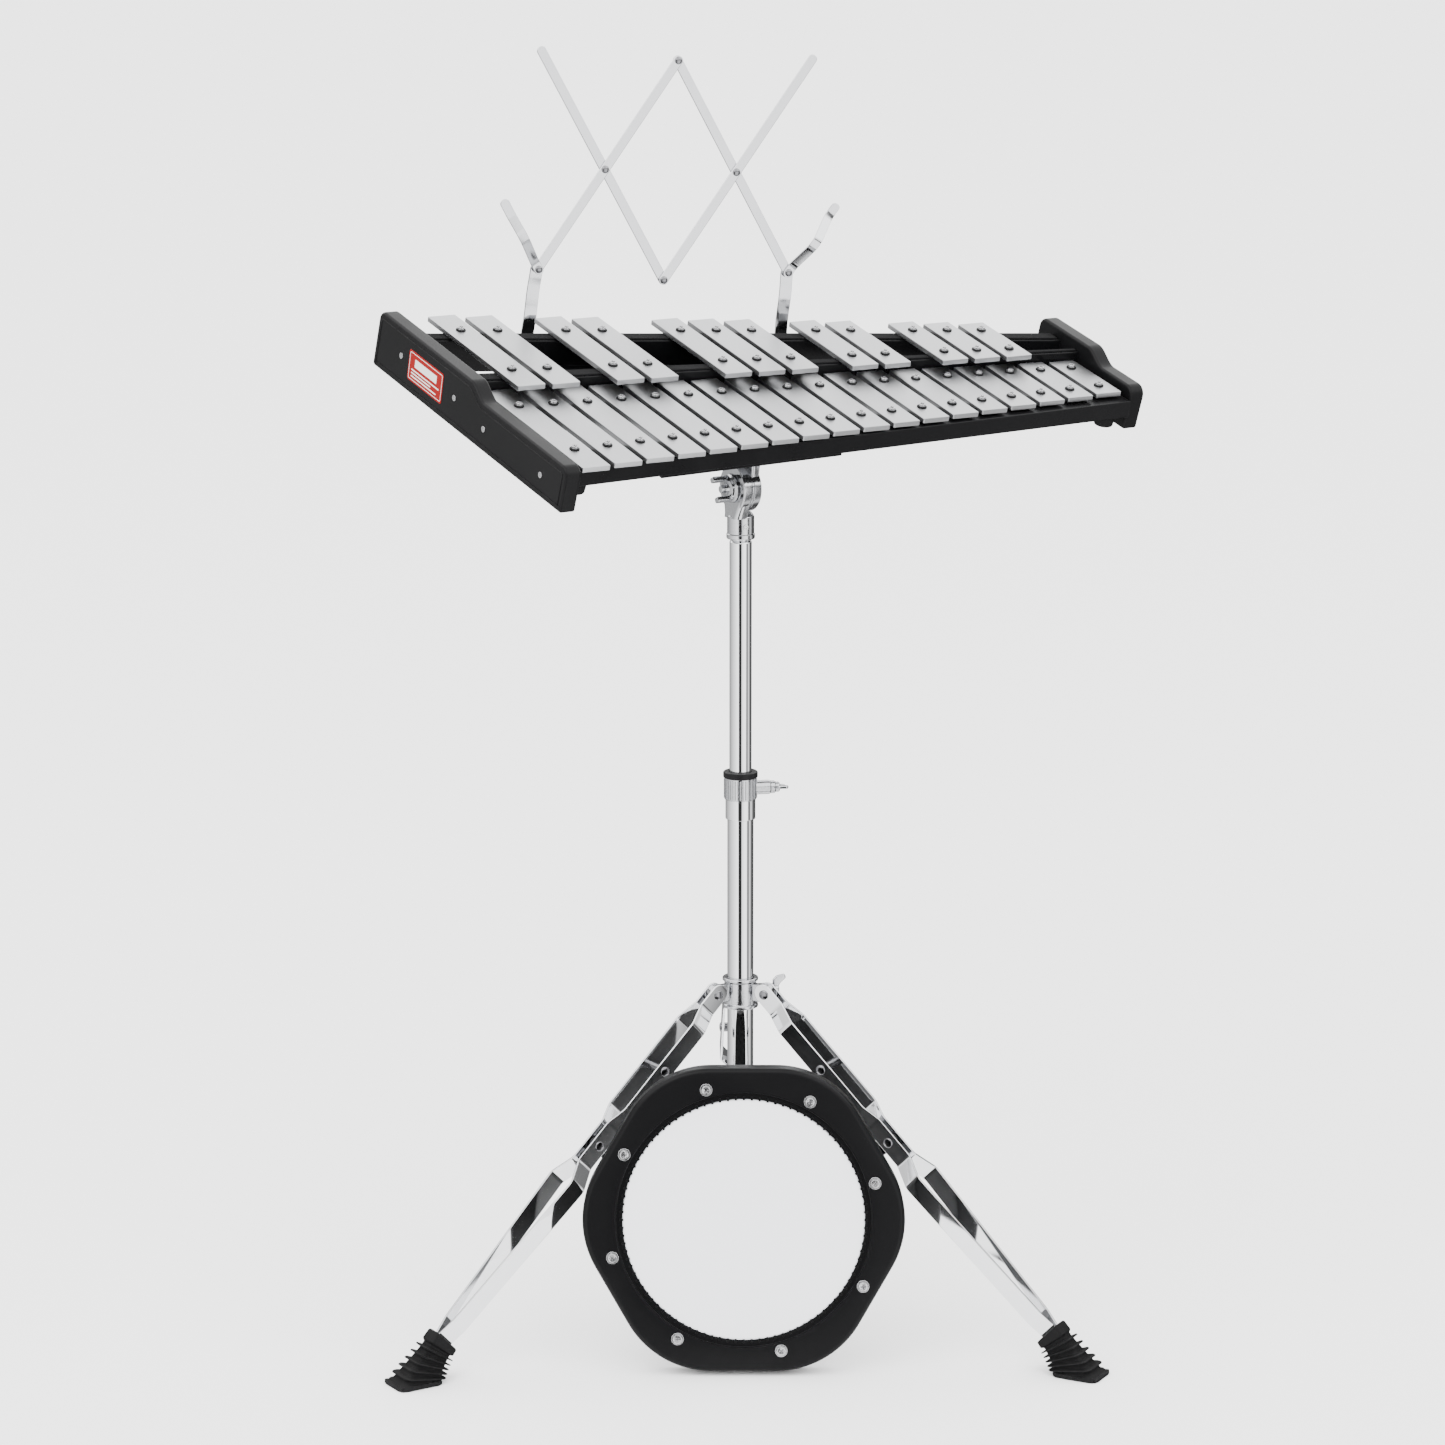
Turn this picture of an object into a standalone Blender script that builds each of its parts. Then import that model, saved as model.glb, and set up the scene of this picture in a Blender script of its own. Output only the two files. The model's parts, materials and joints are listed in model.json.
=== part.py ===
"""Bell set: a thirty-bar glockenspiel on a folding tripod stand, with music rack and practice pad.

Units are metres and +Z is up.  The keyboard is laid out in its own table frame (X along the row of
bars, Y away from the player, Z = 0 on top of the natural bars); the music rack has its own frame on
the rear rail; the stand is laid out around the tube axis with the floor at Z = 0.
"""
from math import atan2, cos, hypot, pi, radians, sin, tan

import bmesh
import bpy
from mathutils import Matrix, Vector
from mathutils.geometry import tessellate_polygon

MM = 0.001
GAP = 0.3 * MM                     # between pieces that touch
RUNNING = 0.4 * MM                 # round a pin or tube that turns or slides
BITE = 0.6 * MM                    # how far shapes reach into each other before they are united
ROOT = 2.0 * MM                    # how far a boss, lug or web starts inside what carries it
STEP = 0.02 * MM                   # keeps two faces out of one plane before they are united
THROUGH = 1.0 * MM                 # how far a cutter runs past what it cuts
END_ROUND = 0.9                    # rounding of a strip's end, as a share of its half width
SMOOTH_BELOW = radians(30)         # edges flatter than this are shaded smooth

# ---- bars ---------------------------------------------------------------------------------------
NATURALS = 18
PITCH = 31.3 * MM
BAR_WIDTH = 26.0 * MM
BAR_THICK = 4.5 * MM
BAR_HOLE_RADIUS = 3.0 * MM
NODE_SHARE = 0.28                  # screw distance from the bar's middle, as a share of its length
NATURAL_LONG = 166.0 * MM
NATURAL_SHORT = 74.5 * MM
NATURAL_MID_Y = -53.0 * MM
ROW_HALF = (NATURALS - 1) / 2 * PITCH
ACC_LIFT = 12.7 * MM               # top of the accidentals above top of the naturals
ACC_PITCH = 31.6 * MM
ACC_GROUPS = ((2, 1.04), (2, 3.94), (3, 7.66), (2, 11.02), (3, 14.34))    # bars, middle in pitches
ACC_LONG = 159.0 * MM
ACC_SHORT = 78.0 * MM
ACC_MID_FIRST, ACC_MID_LAST = 84.0 * MM, 13.7 * MM      # middle of the first and last accidental

# ---- frame --------------------------------------------------------------------------------------
PANEL_THICK = 15.0 * MM
PANEL_GAP = 6.0 * MM               # first bar to end panel
PANEL_BASE = -34.5 * MM
PANEL_FRONT_TOP = 5.0 * MM
PANEL_REAR_TOP = 16.0 * MM
PANEL_ROUND = 9.0 * MM
STEP_RUN = 26.0 * MM               # length of the S-curve between the two top edges
PANEL_SLANT = 4.0 * MM             # lean of a panel's two ends
PANEL_CORNERS = 2.0 * MM, 3.0 * MM # rounding of its lower front and lower rear corners
BASS_FRONT, BASS_STEP, BASS_REAR = -148.0 * MM, 6.0 * MM, 183.0 * MM
TREBLE_FRONT, TREBLE_STEP, TREBLE_REAR = -98.0 * MM, -37.0 * MM, 52.0 * MM
RAIL_BASE, RAIL_TOP = -21.5 * MM, -BAR_THICK - GAP
PANEL_INSIDE = ROW_HALF + BAR_WIDTH / 2 + PANEL_GAP
FRONT_RAIL_REACH = 25.0 * MM       # front rail's face ahead of the front screw line
RAIL_HALF = 8.0 * MM               # rail's edge from its screw line
BAR_END_CLEAR = 2.5 * MM           # naturals' far ends to the accidentals' near rail
REAR_RAIL_THICK = 14.0 * MM
REAR_RAIL_TOP = -8.0 * MM
BOARD_THICK = 9.0 * MM
BOARD_PROUD = 3.0 * MM             # board below the rails
BOARD_WIDTH = 178.0 * MM
BOARD_MID_X = -104.0 * MM
BOARD_INSET = 2.0 * MM             # board's edges inside the rails' outer faces
REAR_RAIL_INSET = 4.0 * MM         # rear rail's back face ahead of the end panels' rear ends

# ---- table pose ---------------------------------------------------------------------------------
TABLE_YAW = radians(31.8)
TABLE_TILT = radians(14.3)
PIVOT_ON_TABLE = (-69.0 * MM, -50.0 * MM)
TILT_DROP = 48.0 * MM              # tilt axis below the mount board
PIVOT_HEIGHT = 724.0 * MM

# ---- post ---------------------------------------------------------------------------------------
LOWER_RADIUS, LOWER_WALL = 11.1 * MM, 1.2 * MM
UPPER_RADIUS, UPPER_WALL = 9.4 * MM, 1.5 * MM
LOWER_BASE = 72.0 * MM
CLAMP_BASE, CLAMP_SHOULDER, CLAMP_RING, CLAMP_TOP = 441.0 * MM, 458.0 * MM, 477.0 * MM, 482.0 * MM
SLEEVE_WALL, KNURL_WALL, RING_WALL = 1.6 * MM, 3.5 * MM, 3.8 * MM      # proud of the lower tube
CLAMP_SLEEVE = LOWER_RADIUS + SLEEVE_WALL
CLAMP_BODY = LOWER_RADIUS + KNURL_WALL
CLAMP_RING_RADIUS = LOWER_RADIUS + RING_WALL
CLAMP_BOLT_ANGLE = radians(8)
BORE_TAPER = 2.0 * MM              # height over which the clamp's bore narrows
UPPER_BASE = 290.0 * MM
DISC_RADIUS, DISC_THICK = 20.0 * MM, 8.5 * MM
SOCKET_HEIGHT, SOCKET_WALL = 22.0 * MM, 3.2 * MM
SOCKET_TOP = PIVOT_HEIGHT - DISC_RADIUS - 1.0 * MM
SOCKET_RIM = 1.0 * MM              # small hole left in the socket's closed top
SOCKET_BASE = SOCKET_TOP - SOCKET_HEIGHT
NECK_RADIUS = UPPER_RADIUS - 1.2 * MM
SOCKET_RADIUS = NECK_RADIUS + SOCKET_WALL
NECK_DEPTH = SOCKET_HEIGHT - 4.0 * MM
NECK_RISE = 1.5 * MM               # height of the shoulder below the neck
NECK_WALL_EXTRA = 1.0 * MM         # the upper tube's wall is thicker by this at its neck
TILT_PIN_RADIUS = 3.6 * MM
FLANGE_LENGTH, FLANGE_WIDTH, FLANGE_THICK = 64.0 * MM, 44.0 * MM, 3.0 * MM
BOLT_RADIUS = 2.9 * MM
BOSS_RADIUS, BOSS_REACH = 6.0 * MM, 6.5 * MM
SMALL_WING = (5.0 * MM, 8.0 * MM, 24.0 * MM)       # head radius, head height and wing span
LARGE_WING = (6.5 * MM, 9.0 * MM, 30.0 * MM)
WING_THICK, WING_ROUND = 3.2 * MM, 1.5 * MM
WING_FOOT, WING_CROTCH, WING_OUTER, WING_INNER = 0.45, 0.9, 1.7, 1.8       # heights in head heights
WING_SPREAD, WING_INSIDE, WING_ROOT = 1.1, 0.62, 0.5                       # in half spans, head radii
TILT_BOLT_PAST = 4.0 * MM          # tilter bolt's end past the two discs
WEB_SHARE, ARM_SHARE = 0.7, 0.8    # widths of the two tilter webs as shares of socket and disc
CLAMP_BOLT_TURN, TILT_BOLT_TURN = radians(80), radians(35)

# ---- tripod -------------------------------------------------------------------------------------
LEG_TURN = radians(2.4)
LEG_NAMES = ("left", "right", "rear")
HUB_BOLT_ANGLE = radians(12)
HUB_BASE, HUB_TOP = 277.0 * MM, 303.0 * MM
HUB_WALL, HUB_FLANGE_PROUD, HUB_FLANGE = 3.9 * MM, 2.5 * MM, 2.5 * MM
HUB_RADIUS = LOWER_RADIUS + HUB_WALL
HUB_FLANGE_RADIUS = HUB_RADIUS + HUB_FLANGE_PROUD
LEG_PIVOT_HEIGHT = 291.0 * MM
LUG_THICK, LUG_HEIGHT, LUG_ROUND = 6.0 * MM, 15.0 * MM, 0.45
PIN_RADIUS = 2.8 * MM
STRIP_WIDTH, STRIP_THICK = 16.0 * MM, 2.0 * MM
LEG_PIVOT_RADIUS = HUB_RADIUS + STRIP_WIDTH / 2 + 2.0 * MM
UPPER_BOW, LOWER_BOW = 12.0 * MM, 17.0 * MM
STRIP_TAIL = 9.0 * MM              # strip's end past its pivot
PINCH_END, UPPER_BOW_START = 16.0 * MM, 34.0 * MM          # from the leg's pivot
KNEE_FLAT, KNEE_IN, KNEE_OUT = 20.0 * MM, 16.0 * MM, 20.0 * MM
SHIN_END, SHIN_FLAT = 46.0 * MM, 30.0 * MM                 # before the strip's foot end
SHIN_SPREAD = 2.0 * MM
TIP_GAP = 1.0 * MM                 # half the gap between the strips in the foot
TIP_SHORT = 10.0 * MM              # strip's foot end above the sole
TIP_BLOCK = 24.0 * MM              # block between the strips in the foot
RIVET_PROUD = 1.2 * MM
STRIP_TRIM = 0.2 * MM              # half-round end inside the strip's edges
KNEE = 164.0 * MM                  # leg pivot to brace pivot
FOOT_RADIUS = 321.0 * MM           # tube axis to the middle of a sole
FOOT_LENGTH = 40.0 * MM
FOOT_WALL = 4.0 * MM
FOOT_SOFT = 0.45                   # rounding of a foot's section, as a share of its half width
CUFF_SHARE, CUFF_STEP = 0.2, 0.01  # plain cuff, as a share of the foot's length
FOOT_RIBS = 3
RIB_FIRST, RIB_PITCH = 0.32, 0.17  # as shares of the foot's length
RIB_RISE, RIB_FLAT, RIB_FALL = -0.02, 0.05, 0.07
RIB_PROUD = 3.0 * MM
CUFF_PROUD, SOLE_PROUD = 1.5 * MM, 1.2 * MM
POCKET_PAST = 12.0 * MM            # cutter for the strips' pocket runs out past the cuff
SOLE_LENGTH, SOLE_WIDTH, SOLE_THICK = 46.0 * MM, 36.0 * MM, 6.0 * MM
COLLAR_WALL = 3.9 * MM
COLLAR_RADIUS = LOWER_RADIUS + COLLAR_WALL
BRACE_WIDTH, BRACE_THICK = 13.0 * MM, 4.0 * MM
BRACE_PIVOT_RADIUS, BRACE_PIVOT_HEIGHT = COLLAR_RADIUS + BRACE_WIDTH / 2 + 1.5 * MM, 88.0 * MM
EAR_THICK, EAR_HEIGHT = 2.5 * MM, 16.0 * MM
LEG_SLOPE = atan2(LEG_PIVOT_HEIGHT - SOLE_THICK, FOOT_RADIUS - LEG_PIVOT_RADIUS)
LEG_LENGTH = hypot(LEG_PIVOT_HEIGHT - SOLE_THICK, FOOT_RADIUS - LEG_PIVOT_RADIUS)
PINCH = LUG_THICK / 2 + GAP + STRIP_THICK / 2              # strip's middle beside the lug

# ---- music rack ---------------------------------------------------------------------------------
RACK_LEAN = radians(11.0)
RACK_MID = -59.0 * MM              # along the rear rail from the table's middle
RACK_BEHIND = 3.0 * MM             # rack's plane ahead of the rear rail's back face
RACK_PIVOT_HEIGHT = 59.0 * MM      # post pivots above the rear rail
RACK_CELL = 110.3 * MM             # cross to end pivot along a strip
RACK_FOOT_LINK = 101.0 * MM        # post pivot to cross
RACK_ANGLE = radians(32.1)         # strips from the rack's upright
RACK_TIP = 9.0 * MM                # free end past its last pivot
LINK_WIDTH, LINK_THICK = 8.0 * MM, 1.6 * MM
RIVET_RADIUS, RIVET_HEAD, RIVET_HEAD_THICK = 1.8 * MM, 3.4 * MM, 1.4 * MM
POST_WIDTH = 11.0 * MM
POST_FOOT_GAP = 0.5 * MM           # post's foot above the rail, so that its leaning corner clears it
HOLDER_REACH, HOLDER_TAIL, HOLDER_EYE = 72.0 * MM, 4.5 * MM, 7.0 * MM      # ahead, behind, flat part
HOLDER_FORWARD, HOLDER_WAVES = 16.0 * MM, 1.35             # depth of its wave, half waves
HOLDER_SPLAY = radians(33.0)

# ---- practice pad -------------------------------------------------------------------------------
PAD_APOTHEM = 127.0 * MM
PAD_ROUND = 80.0 * MM
PAD_THICK = 28.0 * MM
PAD_LEAN = radians(9.0)
PAD_REST_GAP = 1.0 * MM            # pad's back face to the front legs
PAD_X = 3.0 * MM
PAD_LIFT = 0.03 * MM               # off the floor
HEAD_RADIUS = 101.0 * MM
HEAD_RECESS = 4.0 * MM
HEAD_THICK = 6.0 * MM
RIM_RADIUS, RIM_PROUD, RIM_LAND = 106.5 * MM, 1.6 * MM, 10.0 * MM


# ---- shapes -------------------------------------------------------------------------------------
def circle(radius, sides, centre=(0.0, 0.0)):
    return [(centre[0] + radius * cos(2 * pi * k / sides), centre[1] + radius * sin(2 * pi * k / sides))
            for k in range(sides)]


def rectangle(x0, x1, y0, y1):
    return [(x0, y0), (x1, y0), (x1, y1), (x0, y1)]


def rounded(points, radii, steps=5):
    """Outline with each corner turned into an arc of its own radius."""
    out = []
    count = len(points)
    for k, (corner, radius) in enumerate(zip(points, radii)):
        here = Vector(corner)
        before = (Vector(points[k - 1]) - here).normalized()
        after = (Vector(points[(k + 1) % count]) - here).normalized()
        half = before.angle(after) / 2
        if radius <= 0 or half > radians(89):
            out.append(tuple(here))
            continue
        centre = here + (before + after).normalized() * radius / sin(half)
        start = here + before * radius / tan(half) - centre
        sweep = start.angle_signed(here + after * radius / tan(half) - centre)
        out += [tuple(centre + Matrix.Rotation(-sweep * s / steps, 2) @ start) for s in range(steps + 1)]
    return out


def plate(outer, holes=(), low=0.0, high=1.0):
    """Flat plate between two heights, with holes right through it."""
    loops = [list(outer)] + [list(h) for h in holes]
    flat = [[Vector((x, y, 0.0)) for x, y in loop] for loop in loops]
    bm = bmesh.new()
    floor, roof = [], []
    for loop in loops:
        floor += [bm.verts.new((x, y, low)) for x, y in loop]
        roof += [bm.verts.new((x, y, high)) for x, y in loop]
    for tri in tessellate_polygon(flat):
        bm.faces.new([roof[i] for i in tri])
        bm.faces.new([floor[i] for i in reversed(tri)])
    first = 0
    for loop in loops:
        count = len(loop)
        for k in range(count):
            a, b = first + k, first + (k + 1) % count
            bm.faces.new((floor[a], floor[b], roof[b], roof[a]))
        first += count
    bmesh.ops.recalc_face_normals(bm, faces=bm.faces)
    return bm


def turned(profile, sides):
    """Closed ring profile of (radius, height) points turned about Z."""
    bm = bmesh.new()
    rings = [[bm.verts.new((r * cos(2 * pi * k / sides), r * sin(2 * pi * k / sides), z)) for r, z in profile]
             for k in range(sides)]
    for k in range(sides):
        here, there = rings[k], rings[(k + 1) % sides]
        for j in range(len(profile)):
            n = (j + 1) % len(profile)
            bm.faces.new((here[j], there[j], there[n], here[n]))
    bmesh.ops.recalc_face_normals(bm, faces=bm.faces)
    return bm


def skinned(rings):
    """Closed body through rings of equally many points."""
    bm = bmesh.new()
    loops = [[bm.verts.new(p) for p in ring] for ring in rings]
    for below, above in zip(loops, loops[1:]):
        for k in range(len(below)):
            n = (k + 1) % len(below)
            bm.faces.new((below[k], below[n], above[n], above[k]))
    bm.faces.new(loops[0][::-1])
    bm.faces.new(loops[-1])
    bmesh.ops.recalc_face_normals(bm, faces=bm.faces)
    return bm


def ribbon(path, width, thick):
    """Flat strip bent along a path of (x, y) points; its width runs along Z."""
    left, right = [], []
    for k, point in enumerate(path):
        here = Vector(point)
        ahead = (Vector(path[min(k + 1, len(path) - 1)]) - here)
        behind = (here - Vector(path[max(k - 1, 0)]))
        way = (ahead.normalized() + behind.normalized()).normalized()
        mitre = thick / 2 / max(0.5, way.dot((ahead if ahead.length else behind).normalized()))
        side = Vector((-way.y, way.x)) * mitre
        left.append(tuple(here + side))
        right.append(tuple(here - side))
    return plate(left + right[::-1], (), -width / 2, width / 2)


def box(x0, x1, y0, y1, z0, z1):
    return plate(rectangle(x0, x1, y0, y1), (), z0, z1)


def rod(radius, start, end, sides=16):
    """Round rod between two points."""
    start, end = Vector(start), Vector(end)
    bm = plate(circle(radius, sides), (), 0.0, (end - start).length)
    turn = (end - start).to_track_quat("Z", "Y").to_matrix().to_4x4()
    bm.transform(Matrix.Translation(start) @ turn)
    return bm


def moved(bm, matrix):
    bm.transform(matrix)
    return bm


# ---- objects ------------------------------------------------------------------------------------
def finish(name, colour, roughness, metallic):
    mat = bpy.data.materials.new(name)
    mat.use_nodes = True
    shader = mat.node_tree.nodes["Principled BSDF"]
    shader.inputs["Base Color"].default_value = (*colour, 1.0)
    shader.inputs["Roughness"].default_value = roughness
    shader.inputs["Metallic"].default_value = metallic
    return mat


def frame_empty(name, parent, matrix):
    empty = bpy.data.objects.new(name, None)
    bpy.context.collection.objects.link(empty)
    empty.parent = parent
    empty.matrix_local = matrix
    return empty


def make(name, bm, mat, parent, matrix=None):
    mesh = bpy.data.meshes.new(name)
    bm.to_mesh(mesh)
    bm.free()
    mesh.shade_smooth()
    mesh.set_sharp_from_angle(angle=SMOOTH_BELOW)
    mesh.materials.append(mat)
    obj = bpy.data.objects.new(name, mesh)
    bpy.context.collection.objects.link(obj)
    obj.parent = parent
    obj.matrix_local = matrix or Matrix.Identity(4)
    return obj


def combine(obj, bm, operation):
    """Boolean with a helper body given in the object's own frame."""
    mesh = bpy.data.meshes.new(obj.name + "_helper")
    bm.to_mesh(mesh)
    bm.free()
    helper = bpy.data.objects.new(mesh.name, mesh)
    bpy.context.collection.objects.link(helper)
    helper.parent = obj
    helper.hide_render = True
    helper.display_type = "WIRE"
    modifier = obj.modifiers.new(operation.lower(), "BOOLEAN")
    modifier.operation = operation
    modifier.object = helper
    modifier.solver = "EXACT"
    return obj


def join(obj, *bodies):
    for bm in bodies:
        combine(obj, bm, "UNION")
    return obj


def cut(obj, *bodies):
    for bm in bodies:
        combine(obj, bm, "DIFFERENCE")
    return obj


# ---- keyboard -----------------------------------------------------------------------------------
def natural_length(x):
    return NATURAL_LONG + (NATURAL_SHORT - NATURAL_LONG) * (x + ROW_HALF) / (2 * ROW_HALF)


def accidental_places():
    places = []
    for count, middle in ACC_GROUPS:
        centre = middle * PITCH - ROW_HALF
        places += [centre + (k - (count - 1) / 2) * ACC_PITCH for k in range(count)]
    return places


def accidental_share(x):
    places = accidental_places()
    return (x - places[0]) / (places[-1] - places[0])


def accidental_length(x):
    return ACC_LONG + (ACC_SHORT - ACC_LONG) * accidental_share(x)


def accidental_middle(x):
    return ACC_MID_FIRST + (ACC_MID_LAST - ACC_MID_FIRST) * accidental_share(x)


def natural_screws(x):
    reach = NODE_SHARE * natural_length(x)
    return NATURAL_MID_Y - reach, NATURAL_MID_Y + reach


def accidental_screws(x):
    middle = accidental_middle(x)
    reach = NODE_SHARE * accidental_length(x)
    return middle - reach, middle + reach


def rear_face(x):
    """Back face of the rear rail."""
    share = (x + PANEL_INSIDE) / (2 * PANEL_INSIDE)
    return BASS_REAR - REAR_RAIL_INSET + (TREBLE_REAR - BASS_REAR) * share


def front_face(x):
    return natural_screws(x)[0] - FRONT_RAIL_REACH


def build_bars(table, mats):
    def bar(name, x, middle, length, top):
        reach = NODE_SHARE * length
        holes = [circle(BAR_HOLE_RADIUS, 12, (0.0, side * reach)) for side in (-1, 1)]
        outline = rectangle(-BAR_WIDTH / 2, BAR_WIDTH / 2, -length / 2, length / 2)
        place = Matrix.Translation((x, middle, top))
        make(name, plate(outline, holes, -BAR_THICK, 0.0), mats["bar"], table, place)

    for k in range(NATURALS):
        x = k * PITCH - ROW_HALF
        bar(f"bar_natural_{k + 1:02d}", x, NATURAL_MID_Y, natural_length(x), 0.0)
    for k, x in enumerate(accidental_places()):
        bar(f"bar_accidental_{k + 1:02d}", x, accidental_middle(x), accidental_length(x), ACC_LIFT)


def panel_outline(front, step, rear):
    half = STEP_RUN / 2
    rise = PANEL_REAR_TOP - PANEL_FRONT_TOP
    steps = 8
    curve = [(step - half + STEP_RUN * s / steps,
              PANEL_FRONT_TOP + rise * (1 - cos(pi * s / steps)) / 2) for s in range(1, steps)]
    corners = [(front + PANEL_SLANT, PANEL_BASE), (rear, PANEL_BASE), (rear - PANEL_SLANT, PANEL_REAR_TOP),
               (step + half, PANEL_REAR_TOP)] + curve[::-1] + [(step - half, PANEL_FRONT_TOP),
                                                             (front, PANEL_FRONT_TOP)]
    radii = [*PANEL_CORNERS, PANEL_ROUND] + [0.0] * (len(curve) + 2) + [PANEL_ROUND]
    return rounded(corners, radii)


def build_frame(table, mats):
    stand_up = Matrix(((0, 0, 1, 0), (1, 0, 0, 0), (0, 1, 0, 0), (0, 0, 0, 1)))    # (y, z, x) to (x, y, z)
    for name, side, ends in (("end_panel_bass", -1, (BASS_FRONT, BASS_STEP, BASS_REAR)),
                             ("end_panel_treble", 1, (TREBLE_FRONT, TREBLE_STEP, TREBLE_REAR))):
        inside, outside = sorted((side * PANEL_INSIDE, side * (PANEL_INSIDE + PANEL_THICK)))
        bm = moved(plate(panel_outline(*ends), (), inside, outside), stand_up)
        make(name, bm, mats["vinyl"], table)

    x0, x1 = -PANEL_INSIDE + GAP, PANEL_INSIDE - GAP

    def rail(near, far, top):
        outline = [(x0, near(x0)), (x1, near(x1)), (x1, far(x1)), (x0, far(x0))]
        return plate(outline, (), RAIL_BASE, top)

    acc_top = ACC_LIFT + RAIL_TOP
    rails = [
        rail(lambda x: natural_screws(x)[1] - RAIL_HALF, lambda x: natural_screws(x)[1] + RAIL_HALF,
             RAIL_TOP),
        rail(lambda x: NATURAL_MID_Y + natural_length(x) / 2 + BAR_END_CLEAR,
             lambda x: accidental_screws(x)[0] + RAIL_HALF, acc_top),
        rail(lambda x: accidental_screws(x)[1] - RAIL_HALF, lambda x: accidental_screws(x)[1] + RAIL_HALF,
             acc_top),
        rail(lambda x: rear_face(x) - REAR_RAIL_THICK, rear_face, REAR_RAIL_TOP),
    ]
    front = rail(front_face, lambda x: natural_screws(x)[0] + RAIL_HALF, RAIL_TOP)
    frame = make("key_frame", front, mats["lacquer"], table)
    left, right = BOARD_MID_X - BOARD_WIDTH / 2, BOARD_MID_X + BOARD_WIDTH / 2
    board = plate([(left, front_face(left) + BOARD_INSET), (right, front_face(right) + BOARD_INSET),
                   (right, rear_face(right) - BOARD_INSET), (left, rear_face(left) - BOARD_INSET)], (),
                  RAIL_BASE - BOARD_PROUD, RAIL_BASE - BOARD_PROUD + BOARD_THICK)
    join(frame, board, *rails)


# ---- tilter and post ----------------------------------------------------------------------------
def build_wing_bolt(name, parent, matrix, sizes, shank_radius, shank, mats):
    """Wing bolt along +Z: the shank runs down from the head, the wings spread along X."""
    radius, height, span = sizes
    half = span / 2
    right = [(half, height * WING_FOOT), (half * WING_SPREAD, height * WING_OUTER),
             (half * WING_INSIDE, height * WING_INNER), (radius * WING_ROOT, height * WING_CROTCH)]
    outline = rounded(right + [(-x, y) for x, y in reversed(right)], [WING_ROUND] * 8, 3)
    lay = Matrix(((1, 0, 0, 0), (0, 0, 1, 0), (0, 1, 0, 0), (0, 0, 0, 1)))        # (x, z, y) to (x, y, z)
    wings = moved(plate(outline, (), -WING_THICK / 2, WING_THICK / 2), lay)
    bmesh.ops.recalc_face_normals(wings, faces=wings.faces)
    bolt = make(name, plate(circle(radius, 16), (), 0.0, height), mats["chrome"], parent, matrix)
    join(bolt, wings, plate(circle(shank_radius, 16), (), -shank, BITE))


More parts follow.
